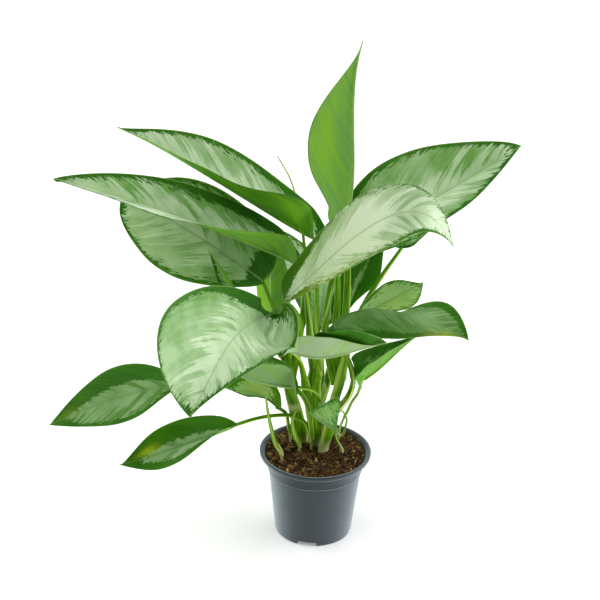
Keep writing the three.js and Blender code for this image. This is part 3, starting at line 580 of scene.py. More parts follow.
def leaf_tissue(name, look):
    """
    Leaf material. Distance into the silver, in mm, has noise added that is drawn out along the side
    veins; where the sum is above zero the upper face is silver, elsewhere green. The silver runs from
    its darker to its paler colour by the sum of the leaf's painted light and shade, flames along the
    veins, soft patches and a core with a flamed edge beside the midrib. The green runs from dark to
    green by cloud noise plus half the painted light. Islands of green are left in the silver near its
    edge. Gold spots and fine veins lie over the upper face. The underside has its own colours, with
    painted shade where the painted light is below zero and a painted backlight, paler green, where it
    is high. The midrib and the margin's thin line lie over both. A MapRange takes its value, the range
    it comes from and the range it goes to, in that order.
    """
    made, tree, surface = new_material(name)
    paint = {key: linear(code) for key, code in look.items() if isinstance(code, str)}
    run = node(tree, "Attribute", attribute_name="run").outputs["Vector"]
    lie = node(tree, "SeparateXYZ", (0, node(tree, "Attribute", attribute_name="lie").outputs["Vector"]))
    cast = node(tree, "SeparateXYZ", (0, node(tree, "Attribute", attribute_name="cast").outputs["Vector"]))
    upper = node(tree, "Attribute", attribute_name="upper").outputs["Fac"]
    silver_mm, rib_mm, edge_mm = lie.outputs
    # light is each leaf's painted light and shade; deep is the underside's greenness, gold its yellow spots.
    light, deep, gold = cast.outputs
    noise = {}
    for key, (stretch, detail, roughness) in LEAF_NOISES.items():
        place = node(tree, "VectorMath", (0, run), (1, stretch), operation="MULTIPLY").outputs[0]
        noise[key] = node(
            tree, "TexNoise", ("Vector", place), ("Scale", 1.0), ("Detail", detail), ("Roughness", roughness)
        ).outputs[0]
    object_place = node(tree, "TexCoord").outputs["Object"]
    patchy = node(
        tree, "TexNoise", ("Vector", object_place), ("Scale", PATCHES_PER_M), ("Detail", 3)
    ).outputs[0]

    ranges = {
        "jag": (noise["feather"], 0.32, 0.68, -look["jag"], look["jag"]),
        "core_edge": (noise["flame"], 0.34, 0.66, -4, look["core"]),
        "flamed": (noise["flame"], 0.3, 0.7, 0, 0.22),
        "streaked": (noise["flame"], 0.4, 0.7, 0, 0.6),
        "patches": (patchy, 0.35, 0.65, 0, 0.24),
        # Underside: painted shade where a leaf's painted light is below zero, and a painted backlight that
        # makes it paler where that light is high.
        "painted_shade": (light, -0.6, 0, 0.6, 0),
        "painted_backlight": (light, 0.2, 0.8, 0, 0.8),
        "on_top": (upper, -0.1, 0.1, 0, 1),
        "margin": (edge_mm, 0.8, 0.2, 0, 0.35),
        "rough": (noise["grain"], 0, 1, look["rough"] - 0.06, look["rough"] + 0.08),
    }
    share = {
        key: node(tree, "MapRange", *enumerate(values)).outputs[0] for key, values in ranges.items()
    }

    inside = node(tree, "Math", *enumerate((silver_mm, share["jag"])), operation="ADD").outputs[0]
    edge = node(
        tree, "MapRange", *enumerate((inside, -look["soft"], look["soft"])), interpolation_type="SMOOTHSTEP"
    ).outputs[0]
    island_level = node(
        tree, "MapRange", *enumerate((inside, 0, look["island_reach"], look["island_level"], 0.9))
    ).outputs[0]
    island = node(
        tree, "Math", *enumerate((noise["islands"], island_level)), operation="SUBTRACT"
    ).outputs[0]
    island_gap = node(tree, "MapRange", *enumerate((island, 0, 0.04, 1, 0.08))).outputs[0]
    silver = node(tree, "Math", *enumerate((edge, island_gap)), operation="MULTIPLY").outputs[0]

    core_mm = node(tree, "Math", *enumerate((share["core_edge"], rib_mm)), operation="SUBTRACT").outputs[0]
    core = node(
        tree, "MapRange", *enumerate((core_mm, -4, 4, 0, look["core_share"])),
        interpolation_type="SMOOTHSTEP",
    ).outputs[0]
    # The silver's paleness: flames, soft patches and the core, plus the leaf's painted light.
    pattern_and_painted_light = share["flamed"]
    for part in (share["patches"], light, core):
        pattern_and_painted_light = node(tree, "Math", *enumerate((pattern_and_painted_light, part)), operation="ADD").outputs[0]
    pale = node(
        tree, "Mix", ("Factor", pattern_and_painted_light), (6, paint["silver"]), (7, paint["white"]), data_type="RGBA"
    ).outputs[2]
    # The green is painted lighter or darker by half the leaf's painted light, over its cloud noise.
    half_painted_light = node(tree, "Math", *enumerate((light, 0.5)), operation="MULTIPLY").outputs[0]
    fresh = node(tree, "Math", *enumerate((noise["cloud"], half_painted_light)), operation="ADD").outputs[0]
    green = node(
        tree, "Mix", ("Factor", fresh), (6, paint["dark"]), (7, paint["green"]), data_type="RGBA"
    ).outputs[2]

    vein_run = node(tree, "SeparateXYZ", (0, run)).outputs[0]
    vein_turn = node(tree, "Math", *enumerate((vein_run, TURN)), operation="MULTIPLY").outputs[0]
    vein_wave = node(tree, "Math", (0, vein_turn), operation="COSINE").outputs[0]
    veins = node(tree, "MapRange", *enumerate((vein_wave, 0.9, 1, 0, look["veins"]))).outputs[0]
    face = green
    for amount, over in ((silver, pale), (gold, paint["gold"]), (veins, paint["vein"])):
        face = node(tree, "Mix", ("Factor", amount), (6, face), (7, over), data_type="RGBA").outputs[2]
    # Underside colours, then painted shade towards dark and painted backlight towards pale green.
    below = paint["under_grey"]
    for amount, over in (
        (deep, "under"), (share["streaked"], "under_pale"), (veins, "under_pale"),
        (share["painted_shade"], "dark"), (share["painted_backlight"], "under_pale"),
    ):
        below = node(
            tree, "Mix", ("Factor", amount), (6, below), (7, paint[over]), data_type="RGBA"
        ).outputs[2]
    rib = node(
        tree, "MapRange", *enumerate((rib_mm, look["rib_mm"], look["rib_mm"] * 0.4, 0, look["rib_share"])),
        interpolation_type="SMOOTHSTEP",
    ).outputs[0]
    both = below
    for amount, over in ((share["on_top"], face), (rib, paint["rib"]), (share["margin"], paint["margin"])):
        both = node(tree, "Mix", ("Factor", amount), (6, both), (7, over), data_type="RGBA").outputs[2]

    quilting = node(tree, "Math", *enumerate((vein_wave, 0.12)), operation="MULTIPLY").outputs[0]
    relief = node(tree, "Math", *enumerate((quilting, noise["grain"])), operation="ADD").outputs[0]
    bump = node(tree, "Bump", ("Height", relief), ("Distance", 0.0003), ("Strength", 0.45)).outputs[0]
    shader = node(
        tree, "BsdfPrincipled", ("Base Color", both), ("Roughness", share["rough"]), ("Normal", bump),
        ("IOR", 1.45), ("Specular IOR Level", 0.12), ("Subsurface Weight", 0.1),
        ("Subsurface Radius", (0.6, 1.0, 0.3)), ("Subsurface Scale", 0.003),
    )
    tree.links.new(shader.outputs[0], surface)
    return made


SILVER_LOOK = {
    "dark": "#1a4607", "green": "#357210", "silver": "#68964c", "white": "#d8eaca", "vein": "#b4cd9c",
    "under": "#4d9200", "under_pale": "#8fc71c", "under_grey": "#acc49b", "rib": "#94b268",
    "margin": "#9cc070", "gold": "#b7c22a", "jag": 3.4, "soft": 0.5, "island_reach": 14.0,
    "island_level": 0.47, "veins": 0.06, "core": 38.0, "core_share": 0.34, "rib_mm": 1.3,
    "rib_share": 0.5, "rough": 0.42,
}
GREEN_LOOK = {
    **SILVER_LOOK, "dark": "#285f0a", "green": "#458618", "silver": "#64953a", "white": "#b4d29a",
}
DARK_LOOK = {
    **SILVER_LOOK, "dark": "#1a4a02", "green": "#3d7a0c", "silver": "#55803a", "white": "#a9c596",
    "rib": "#6b9448", "rib_share": 0.4,
}
silver_leaf = leaf_tissue("living_leaf_silver_variegated", SILVER_LOOK)
green_leaf = leaf_tissue("living_leaf_fresh_green", GREEN_LOOK)
dark_leaf = leaf_tissue("living_leaf_dark_green", DARK_LOOK)


# Each leaf's "light" and the spots listed after it are painted light and shade: above zero its colour is
# painted paler, below zero darker.
LEAVES = {
    "leaf_top_upright": {
        "spine": [[15, 14, 342], [29, 16, 402], [27, 20, 473], [34, 26, 544]],
        "face": [[-0.6, 0.8, 0.1], [-0.6, 0.8, 0.1]], "width": 98, "look": "green",
        "deep": 0.75, "painted_light_spots": [(0.6, 0.5, 0.4, 0.3, 0.65), (0.1, 0.75, 0.4, 0.3, -0.3)],
        "left": {"widest": 0.42, "taper": (1.5, 1.7), "fold": (50, 50)},
        "right": {"share": 1.17, "widest": 0.42, "taper": (1.23, 1.98), "fold": (87, 54)},
    },
    "leaf_right_upper": {
        "spine": [[21, 20, 316], [74, 30, 353], [132, 40, 387], [200, 55, 429]],
        "face": [[-0.1, -0.5, 0.85], [0, -0.5, 0.8]], "width": 116, "look": "silver",
        "light": -0.05, "zones": [(-1, 0.1, 0.5, 0.16, -14)],
        "painted_light_spots": [(0.2, 0.42, 0.6, 0.25, 0.6), (-0.3, 0.74, 0.5, 0.15, -0.2)],
        "left": {"share": 1.02, "widest": 0.45, "taper": (0.67, 0.7), "fold": (25, 15)},
        "right": {"share": 0.75, "widest": 0.43, "taper": (0.75, 0.96), "fold": (25, 15)},
    },
    "leaf_front_arching": {
        "spine": [[-37, -45, 294.5], [16, -75, 366], [74, -95, 415], [124, -90, 378]],
        "face": [[-0.6, -0.5, 0.6], [0.5, -0.5, 0.7]], "width": 74, "look": "silver",
        "light": 0.28, "rim": 1.2, "deep": 0.5, "gold": [(1, 0.15, 0.6, 0.25, 0.22), (0, 0.3, 2, 0.3, 0.1)],
        "zones": [(-1, 0.07, 0.6, 0.13, -26), (1, 0.8, 0.25, 0.16, -4), (0.6, 0.12, 0.4, 0.08, -6)],
        "painted_light_spots": [(-0.2, 0.45, 0.5, 0.2, 0.5), (0, 0.7, 0.8, 0.1, -0.35), (-0.6, 0.25, 0.5, 0.15, -0.35)],
        "left": {"share": 1, "widest": 0.45, "taper": (0.17, 0.9), "fold": (-5, 0)},
        "right": {"share": 0.86, "widest": 0.55, "taper": (0.65, 1.2), "fold": (12, -1)},
    },
    "leaf_left_upper": {
        "spine": [[0, 4, 338], [-72, 12, 377], [-138, 20, 415], [-208, 30, 447]],
        "face": [[0, -0.35, 0.94], [0, -0.4, 0.9]], "width": 84, "look": "silver",
        "light": 0.05, "deep": 0.95, "zones": [(1, 0.05, 0.6, 0.3, -7)],
        "painted_light_spots": [(0, 0.35, 0.7, 0.2, 0.25), (-1, 0.3, 0.5, 0.22, -0.5)],
        "left": {
            "share": 1.08, "widest": 0.31, "taper": (1.57, 1.34), "fold": (131, 28, 4), "curl": (32, 59),
        },
        "right": {"share": 0.94, "widest": 0.44, "taper": (0.34, 1.18), "fold": (20, 20), "lobe": 5},
    },
    "leaf_left_middle": {
        "spine": [[-19, -7, 316.9], [-101.3, -25, 359.8], [-181.4, -36, 393.3], [-261.5, -47, 420.8]],
        "face": [[0, -0.35, 0.94], [0, -0.35, 0.94]], "width": 78, "look": "silver",
        "light": -0.12, "deep": 0.85,
        "zones": [(1, 0.22, 0.45, 0.25, -11), (0.6, 0.5, 0.12, 0.1, -6)],
        "painted_light_spots": [(-1, 0.62, 0.55, 0.3, 1.0), (-1, 0.2, 0.6, 0.2, 0.4), (0.8, 0.25, 0.6, 0.3, -0.3)],
        "left": {"widest": 0.43, "taper": (0.53, 0.61), "fold": (130, 34, 4.3)},
        "right": {"share": 0.97, "widest": 0.38, "taper": (0.46, 0.81), "fold": (22, 22), "lobe": 1.5},
    },
    "leaf_left_broad": {
        "spine": [[-59, -6, 298], [-108, -6, 335], [-155, -8, 365], [-202, -10, 383]],
        "face": [[-0.2, -0.7, 0.7], [-0.2, -0.7, 0.7]], "width": 108, "look": "silver",
        "light": 0.08, "zones": [(0, 0.02, 2, 0.1, -9), (0.5, 0.1, 0.5, 0.1, -4)],
        "painted_light_spots": [(0.6, 0.3, 0.6, 0.4, -0.3), (0, 0.1, 2, 0.2, -0.35), (-0.6, 0.8, 0.6, 0.25, 0.4)],
        "left": {"share": 0.94, "widest": 0.55, "taper": (0.61, 0.47), "fold": (4, 4), "lobe": 3},
        "right": {"share": 0.98, "widest": 0.43, "taper": (0.33, 0.78), "fold": (4, 4), "lobe": 3},
    },
    "leaf_front_left": {
        "spine": [[-49, -40, 277], [-77, -108, 293], [-95, -176, 294], [-117, -235, 268]],
        "face": [[-0.1, -0.3, 0.95], [-0.2, -0.45, 0.85]], "width": 116, "look": "silver",
        "light": 0.12, "rim": 4.4, "zones": [(1, 0.1, 0.6, 0.2, -24)],
        "painted_light_spots": [(0.9, 0.45, 0.35, 0.5, -0.2), (0.1, 0.2, 0.6, 0.14, -0.45), (-0.5, 0.25, 0.6, 0.25, 0.2)],
        "left": {"widest": 0.28, "taper": (0.52, 1.13), "fold": (-75, 10), "curl": (104, 0), "lobe": -11},
        "right": {
            "share": 1.33, "widest": 0.74, "taper": (0.35, 0.71), "fold": (79, 36), "curl": (3, 39),
            "lobe": 11,
        },
    },
    "leaf_low_left": {
        "spine": [[-130, -60, 205], [-174, -68, 202], [-222, -78, 189], [-270, -88, 170]],
        "face": [[0, -0.5, 0.86], [0, -0.6, 0.8]], "width": 68, "look": "dark",
        "light": -0.25, "zones": [(1, 0.5, 0.75, 0.9, -27), (0, 1, 2, 0.12, -8)],
        "gold": [(0.3, 0.86, 0.3, 0.08, 0.15)],
        "left": {"share": 0.91, "widest": 0.53, "taper": (1.45, 0.98), "fold": (8, 8)},
        "right": {"share": 0.98, "widest": 0.46, "taper": (1.28, 1), "fold": (8, 8)},
    },
    "leaf_lowest_left": {
        "spine": [[-83, -32, 144], [-115, -45, 135], [-157, -58, 124], [-202, -70, 114]],
        "face": [[0, -0.5, 0.86], [0, -0.6, 0.8]], "width": 62, "look": "dark",
        "light": 0.1, "zones": [(0.9, 0.4, 0.85, 0.9, -26), (-1, 0.4, 0.7, 0.6, -8)],
        "gold": [(0.3, 0.78, 0.24, 0.08, 0.8)],
        "left": {"share": 0.82, "widest": 0.56, "taper": (1.35, 1.04), "fold": (86, -11)},
        "right": {"share": 0.91, "widest": 0.52, "taper": (0.56, 1.22), "fold": (10, 10)},
    },
    "leaf_under_front": {
        "spine": [[-20, -32, 190], [-50, -38, 196], [-80, -48, 210], [-106, -56, 226]],
        "face": [[0, -0.5, 0.86], [0, -0.6, 0.8]], "width": 60, "look": "green",
        "light": -0.45, "deep": 0.3,
        "left": {"taper": (0.5, 1.1), "fold": (115, 90)},
        "right": {"taper": (0.5, 1.1), "fold": (20, 20)},
    },
    "leaf_small_low_left": {
        "spine": [[-38, -12, 152], [-58, -14, 170], [-77, -20, 177], [-96, -30, 186]],
        "face": [[0, -0.5, 0.86], [0, -0.6, 0.8]], "width": 44, "look": "green",
        "light": 0.2, "deep": 0.6, "zones": [(0, 0.5, 2, 2, -3)], "gold": [(0.3, 0.4, 0.6, 0.3, 0.4)],
        "left": {"widest": 0.68, "taper": (0.35, 2.4), "fold": (44, 47)},
        "right": {"widest": 0.45, "taper": (0.8, 1), "fold": (10, 10)},
    },
    "leaf_right_drooping": {
        "spine": [[8, -28, 253], [47, -40, 286.5], [99.5, -52, 283.5], [149, -60, 264]],
        "face": [[0, -0.6, 0.8], [0.1, -0.5, 0.85]], "width": 64, "look": "dark",
        "light": -0.45, "deep": 0.5, "rim": 3.0,
        "zones": [(-1, 0.5, 0.5, 1, -12), (1, 0.5, 0.35, 1, -9)],
        "painted_light_spots": [(-0.7, 0.65, 0.5, 0.3, 0.5), (0.1, 0.3, 0.25, 0.4, 0.2)],
        "gold": [(1, 0.85, 0.5, 0.12, 0.4)],
        "left": {"share": 1.16, "widest": 0.69, "taper": (2.2, 1.02), "fold": (-168, 35)},
        "right": {"share": 1.18, "widest": 0.5, "taper": (0.38, 1.6), "fold": (-18, 38)},
    },
    "leaf_small_right": {
        "spine": [[27, 0, 242.5], [52, 6, 259.5], [79, 12, 275.5], [106, 18, 290]],
        "face": [[0, -0.6, 0.8], [0, -0.7, 0.7]], "width": 54, "look": "green",
        "light": 0.1, "rim": 2.0, "zones": [(0.2, 0.5, 0.3, 0.2, -8)], "gold": [(0.3, 0.6, 0.5, 0.4, 0.3)],
        "left": {"share": 0.69, "widest": 0.63, "taper": (0.67, 1.5), "fold": (30, -10)},
        "right": {"share": 0.78, "widest": 0.7, "taper": (0.6, 0.93), "fold": (70, 3)},
    },
    "leaf_rolled_front": {
        "spine": [[-33, -50, 244.5], [1, -64, 242], [33.5, -74, 255.5], [66, -80, 269]],
        "face": [[0, -0.2, 1], [0, -0.2, 1]], "width": 58, "look": "green", "columns": 60,
        "light": -0.15, "deep": 0.0, "zones": [(-0.5, 0.65, 1.2, 0.5, -20)],
        "left": {"share": 1.28, "widest": 0.6, "taper": (0.7, 0.7), "fold": (83, 60), "curl": (0, 100)},
        "right": {"share": 1.18, "widest": 0.4, "taper": (0.3, 4), "fold": (77, 70), "curl": (6, 6)},
    },
    "leaf_right_trough": {
        "spine": [[45, -14, 190], [64, -20, 209], [81, -27, 232], [99, -34, 254]],
        "face": [[-0.3, -0.3, 0.9], [-0.3, -0.3, 0.9]], "width": 62, "look": "green",
        "light": -0.35, "deep": 1.0, "zones": [(0, 0.3, 2, 0.4, -8)],
        "left": {
            "share": 0.92, "widest": 0.21, "taper": (1.06, 1.08), "fold": (30, 94), "curl": (64, -56),
            "lobe": 5,
        },
        "right": {"widest": 0.35, "fold": (55, 50)},
    },
    "leaf_small_front": {
        "spine": [[21, -34, 141], [11, -38, 149], [1, -41, 158], [-8, -44, 167]],
        "face": [[0.1, -0.7, 0.7], [0.1, -0.7, 0.7]], "width": 62, "stalk": 1.6, "look": "green",
        "light": -0.45, "deep": 0.3,
        "left": {"share": 0.5, "widest": 0.33, "taper": (0.8, 1), "fold": (80, 80)},
        "right": {"widest": 0.33, "taper": (0.8, 1), "fold": (5, 5)},
    },
    "leaf_right_hidden": {
        "spine": [[23, 30, 226], [34, 37, 258], [46, 45, 291], [59, 53, 323]],
        "face": [[0.1, -0.9, 0.4], [0.1, -0.9, 0.4]], "width": 74, "look": "dark",
        "light": -0.2, "zones": [(0, 0.5, 2, 2, -12)],
        "left": {"share": 0.6, "fold": (8, 8)},
        "right": {"share": 0.48, "widest": 0.65, "taper": (2.3, 0.2), "fold": (8, 8)},
    },
    "leaf_left_upright": {
        "spine": [[-40, 0, 240], [-49.1, 5, 271.5], [-50.1, 13, 303.8], [-47.2, 21, 337]],
        "face": [[0.3, 0.8, 0.3], [0.3, 0.8, 0.3]], "width": 40, "look": "green",
        "deep": 0.8, "painted_light_spots": [(0.8, 0.5, 0.5, 2, 0.8), (-0.8, 0.5, 0.5, 2, -0.3)],
    },
    "leaf_rolled_spear": {
        "spine": [[-71, -20, 261], [-84, -22, 289], [-98, -27, 316], [-113, -34, 344]],
        "face": [[-0.5, -0.8, 0.2], [-0.5, -0.8, 0.2]], "width": 32, "look": "green",
        "deep": 0.8,
        "left": {"widest": 0.3, "fold": (30, 30), "curl": (100, 60)},
        "right": {"widest": 0.3, "fold": (30, 30), "curl": (100, 60)},
    },
    "leaf_back_high": {
        "spine": [[28, 42, 322], [36, 78, 334], [42, 118, 336], [52, 160, 326]],
        "face": [[0, 0, 1], [0, 0.3, 0.95]], "width": 60, "look": "silver",
    },
    "leaf_back_right": {
        "spine": [[83, 38, 319], [95, 62, 333], [111, 92, 346], [128, 127, 348]],
        "face": [[-0.2, 0, 1], [0, 0.2, 0.95]], "width": 70, "look": "silver",
        "right": {"share": 0.8},
    },
    "leaf_back_left": {
        "spine": [[-15, 24, 285], [-45, 62, 300], [-80, 107, 298], [-112, 152, 280]],
        "face": [[0, 0, 1], [0, 0.3, 0.95]], "width": 64, "look": "silver",
    },
    "leaf_back_low": {
        "spine": [[0, 36, 222], [4, 78, 242], [6, 124, 242], [8, 168, 222]],
        "face": [[0, 0, 1], [0, 0.3, 0.95]], "width": 70, "look": "dark",
        "left": {"taper": (0.9, 1.1)},
        "right": {"taper": (0.9, 1.1)},
    },
}
TISSUES = {"silver": silver_leaf, "green": green_leaf, "dark": dark_leaf}
for number, (name, leaf) in enumerate(LEAVES.items()):
    for half in ("left", "right"):
        leaf[half] = {**PLAIN_HALF, **leaf.get(half, {})}
    piece = skin(name + "_living", [blade(leaf, number + 1)])
    piece.data.materials.append(TISSUES[leaf["look"]])
    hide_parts(name)
    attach(piece, "root")

# ---------------------------------------------------------------------------------------------
# Shoots: fleshy stalks that sheath each other at the foot. The lower half of a stalk is an open
# channel with thin pale wings that wrap the next stalk; above it closes to a nearly round stem.
# ---------------------------------------------------------------------------------------------
BURIED = 72
SHEATH_SHARE = 0.45
RING_SIDES = 28
FOOT_BLEACHED_TO = 116
FOOT_FADE = 20
WISP_BLEACHED_FROM = 335
WISP_FADE = 40
RING_WIDTH = 5


def route_curve(route, steps):
    """
    Places and radii along a stalk, evenly spaced: a centripetal Catmull-Rom curve through the route's
    points, with a mirrored point added at both ends, and the radius running straight between points.
    """
    points = np.array(route, float)[:, :3]
    first, last = 2 * points[0] - points[1], 2 * points[-1] - points[-2]
    whole = np.concatenate([[first], points, [last]])
    fine = []
    for k in range(len(points) - 1):
        p0, p1, p2, p3 = whole[k : k + 4]
        k1 = np.linalg.norm(p1 - p0) ** 0.5
        k2 = k1 + np.linalg.norm(p2 - p1) ** 0.5
        k3 = k2 + np.linalg.norm(p3 - p2) ** 0.5
        s = np.linspace(k1, k2, 25)[:, None]
        a1 = (k1 - s) / k1 * p0 + s / k1 * p1
        a2 = (k2 - s) / (k2 - k1) * p1 + (s - k1) / (k2 - k1) * p2
        a3 = (k3 - s) / (k3 - k2) * p2 + (s - k2) / (k3 - k2) * p3
        b1 = (k2 - s) / k2 * a1 + s / k2 * a2
        b2 = (k3 - s) / (k3 - k1) * a2 + (s - k1) / (k3 - k1) * a3
        stretch = (k2 - s) / (k2 - k1) * b1 + (s - k1) / (k2 - k1) * b2
        is_last = k == len(points) - 2
        fine.append(stretch if is_last else stretch[:-1])
    fine = np.concatenate(fine)
    run = np.concatenate([[0], np.cumsum(np.linalg.norm(np.diff(fine, axis=0), axis=1))])
    even = np.linspace(0, run[-1], steps)
    centre = np.stack([np.interp(even, run, fine[:, k]) for k in range(3)], axis=-1)
    marks = np.concatenate([[0], np.cumsum(np.linalg.norm(np.diff(points, axis=0), axis=1))])
    radius = np.interp(even / run[-1] * marks[-1], marks, np.array(route, float)[:, 3])
    return centre, radius, even


def stalk(route, name, facing, rings, seed):
    """
    One stalk as rings along its curve. A ring's outer half is an ellipse; its inner half is the same
    ellipse pushed outwards by the groove, so that a deep groove leaves a thin channel with two wings.
    The groove faces the shoot's middle at the foot and the blade's upper face at the top. Cream tells
    how bleached the skin is: all of it at the soil and in the dry wisp, the only one that rises far
    above the height where wisps are bleached, and in a bell at the height of each ring.
    """
    seeded = np.random.default_rng(seed)
    whole = [tuple(p) for p in route]
    target = np.array(facing, float)
    if name:
        leaf = LEAVES[name]
        along, up, _ = blade_frame(leaf, np.array([0.0]))
        end = np.array(leaf["spine"][0], float) + along[0] * 0.4
        whole.append((*end, leaf.get("stalk", 2.0)))
        target = up[0]
    span = np.linalg.norm(np.array(whole[0][:3]) - np.array(whole[-1][:3]))
    steps = int(max(24, span / 2.2))
    centre, radius, run = route_curve(whole, steps)
    tangent = unit(np.gradient(centre, axis=0))
    u = (run / run[-1])[:, None]
    swing = u * u * (3 - 2 * u)
    wish = unit(np.array(facing, float))[None, :] * (1 - swing) + target[None, :] * swing
    inward = unit(wish - tangent * np.sum(wish * tangent, axis=1, keepdims=True))
    across = np.cross(tangent, inward)
    turn = (np.arange(RING_SIDES) / RING_SIDES * TURN)[None, :]
    close = np.clip((SHEATH_SHARE - u) / 0.12, 0, 1)
    groove = 0.22 + 0.6 * close
    wing = 1 + 0.22 * close
    out = np.sin(turn)
    shape_x = np.cos(turn) * wing
    shape_y = np.where(out < 0, out, out * (1 - 2 * groove * 0.8) - 0.25 * groove * np.abs(out))
    lines = 0.02 * np.sin(turn * 9 + seeded.random() * TURN) + 0.012 * np.sin(turn * 17)
    grow = radius[:, None] * (1 + lines)
    points = (
        centre[:, None, :]
        + (shape_x * grow)[..., None] * across[:, None, :]
        + (shape_y * grow)[..., None] * inward[:, None, :]
    )
    # Both sides of every ring are painted pale: partly the sheath's real thin wings, partly a painted
    # highlight along the stalk's edges that goes on, weaker, up the round stem.
    margin = np.clip((np.abs(np.cos(turn)) - 0.82) / 0.18, 0, 1) * (0.55 + 0.45 * close)
    height = centre[:, 2:]
    cream = np.clip((FOOT_BLEACHED_TO - height) / FOOT_FADE, 0, 1)
    cream = cream + np.clip((height - WISP_BLEACHED_FROM) / WISP_FADE, 0, 1)
    for ring in rings:
        cream = cream + 0.8 * np.exp(-(((height - ring) / RING_WIDTH) ** 2))
    drawn_out = run[:, None] * 0.02 + seed
    fields = {
        "margin": margin,
        "cream": cream + 0 * turn,
        "grain": np.stack(
            [np.cos(turn) + 0 * u, np.sin(turn) + 0 * u, drawn_out + 0 * turn], axis=-1
        ),
    }
    return points, fields


# Living stalk: juicy yellow-green with fine lengthwise lines, paler along both sides, which is partly
# the sheath's thin wings and partly a painted highlight that goes on up the round stem, and bleached
# cream where it comes out of the soil.
STALK_GREEN = "#1c4c00"
STALK_LIGHT = "#7ab412"
WING_PALE_AND_PAINTED_HIGHLIGHT = "#cbe86a"
FOOT_CREAM = "#e4e0a4"
stalk_tissue, tree, surface = new_material("living_stalk_fleshy")
grain = node(tree, "Attribute", attribute_name="grain").outputs["Vector"]
margin = node(tree, "Attribute", attribute_name="margin").outputs["Fac"]
cream = node(tree, "Attribute", attribute_name="cream").outputs["Fac"]
fine_place = node(tree, "VectorMath", (0, grain), (1, (6, 6, 1.5)), operation="MULTIPLY").outputs[0]
lines = node(tree, "TexNoise", ("Vector", fine_place), ("Scale", 1.0), ("Detail", 3)).outputs[0]
line_share = node(
    tree, "MapRange", ("Value", lines), ("From Min", 0.3), ("From Max", 0.7)
).outputs[0]
body = node(
    tree, "Mix", ("Factor", line_share), (6, linear(STALK_GREEN)), (7, linear(STALK_LIGHT)),
    data_type="RGBA",
).outputs[2]
# Painted highlight, together with the real pale wings, along both sides of the stalk.
wings_and_painted_highlight = node(
    tree, "Mix", ("Factor", margin), (6, body), (7, linear(WING_PALE_AND_PAINTED_HIGHLIGHT)), data_type="RGBA"
).outputs[2]
foot_share = node(
    tree, "MapRange", ("Value", cream), ("From Min", 0.1), ("From Max", 1), ("To Max", 0.65)
).outputs[0]
footed = node(
    tree, "Mix", ("Factor", foot_share), (6, wings_and_painted_highlight), (7, linear(FOOT_CREAM)), data_type="RGBA"
).outputs[2]
stalk_bump = node(tree, "Bump", ("Height", lines), ("Distance", 0.0004), ("Strength", 0.5)).outputs[0]
shader = node(
    tree, "BsdfPrincipled", ("Base Color", footed), ("Roughness", 0.42), ("Normal", stalk_bump),
    ("IOR", 1.42), ("Specular IOR Level", 0.12), ("Subsurface Weight", 0.1),
    ("Subsurface Radius", (0.8, 1.0, 0.4)), ("Subsurface Scale", 0.003),
)
tree.links.new(shader.outputs[0], surface)

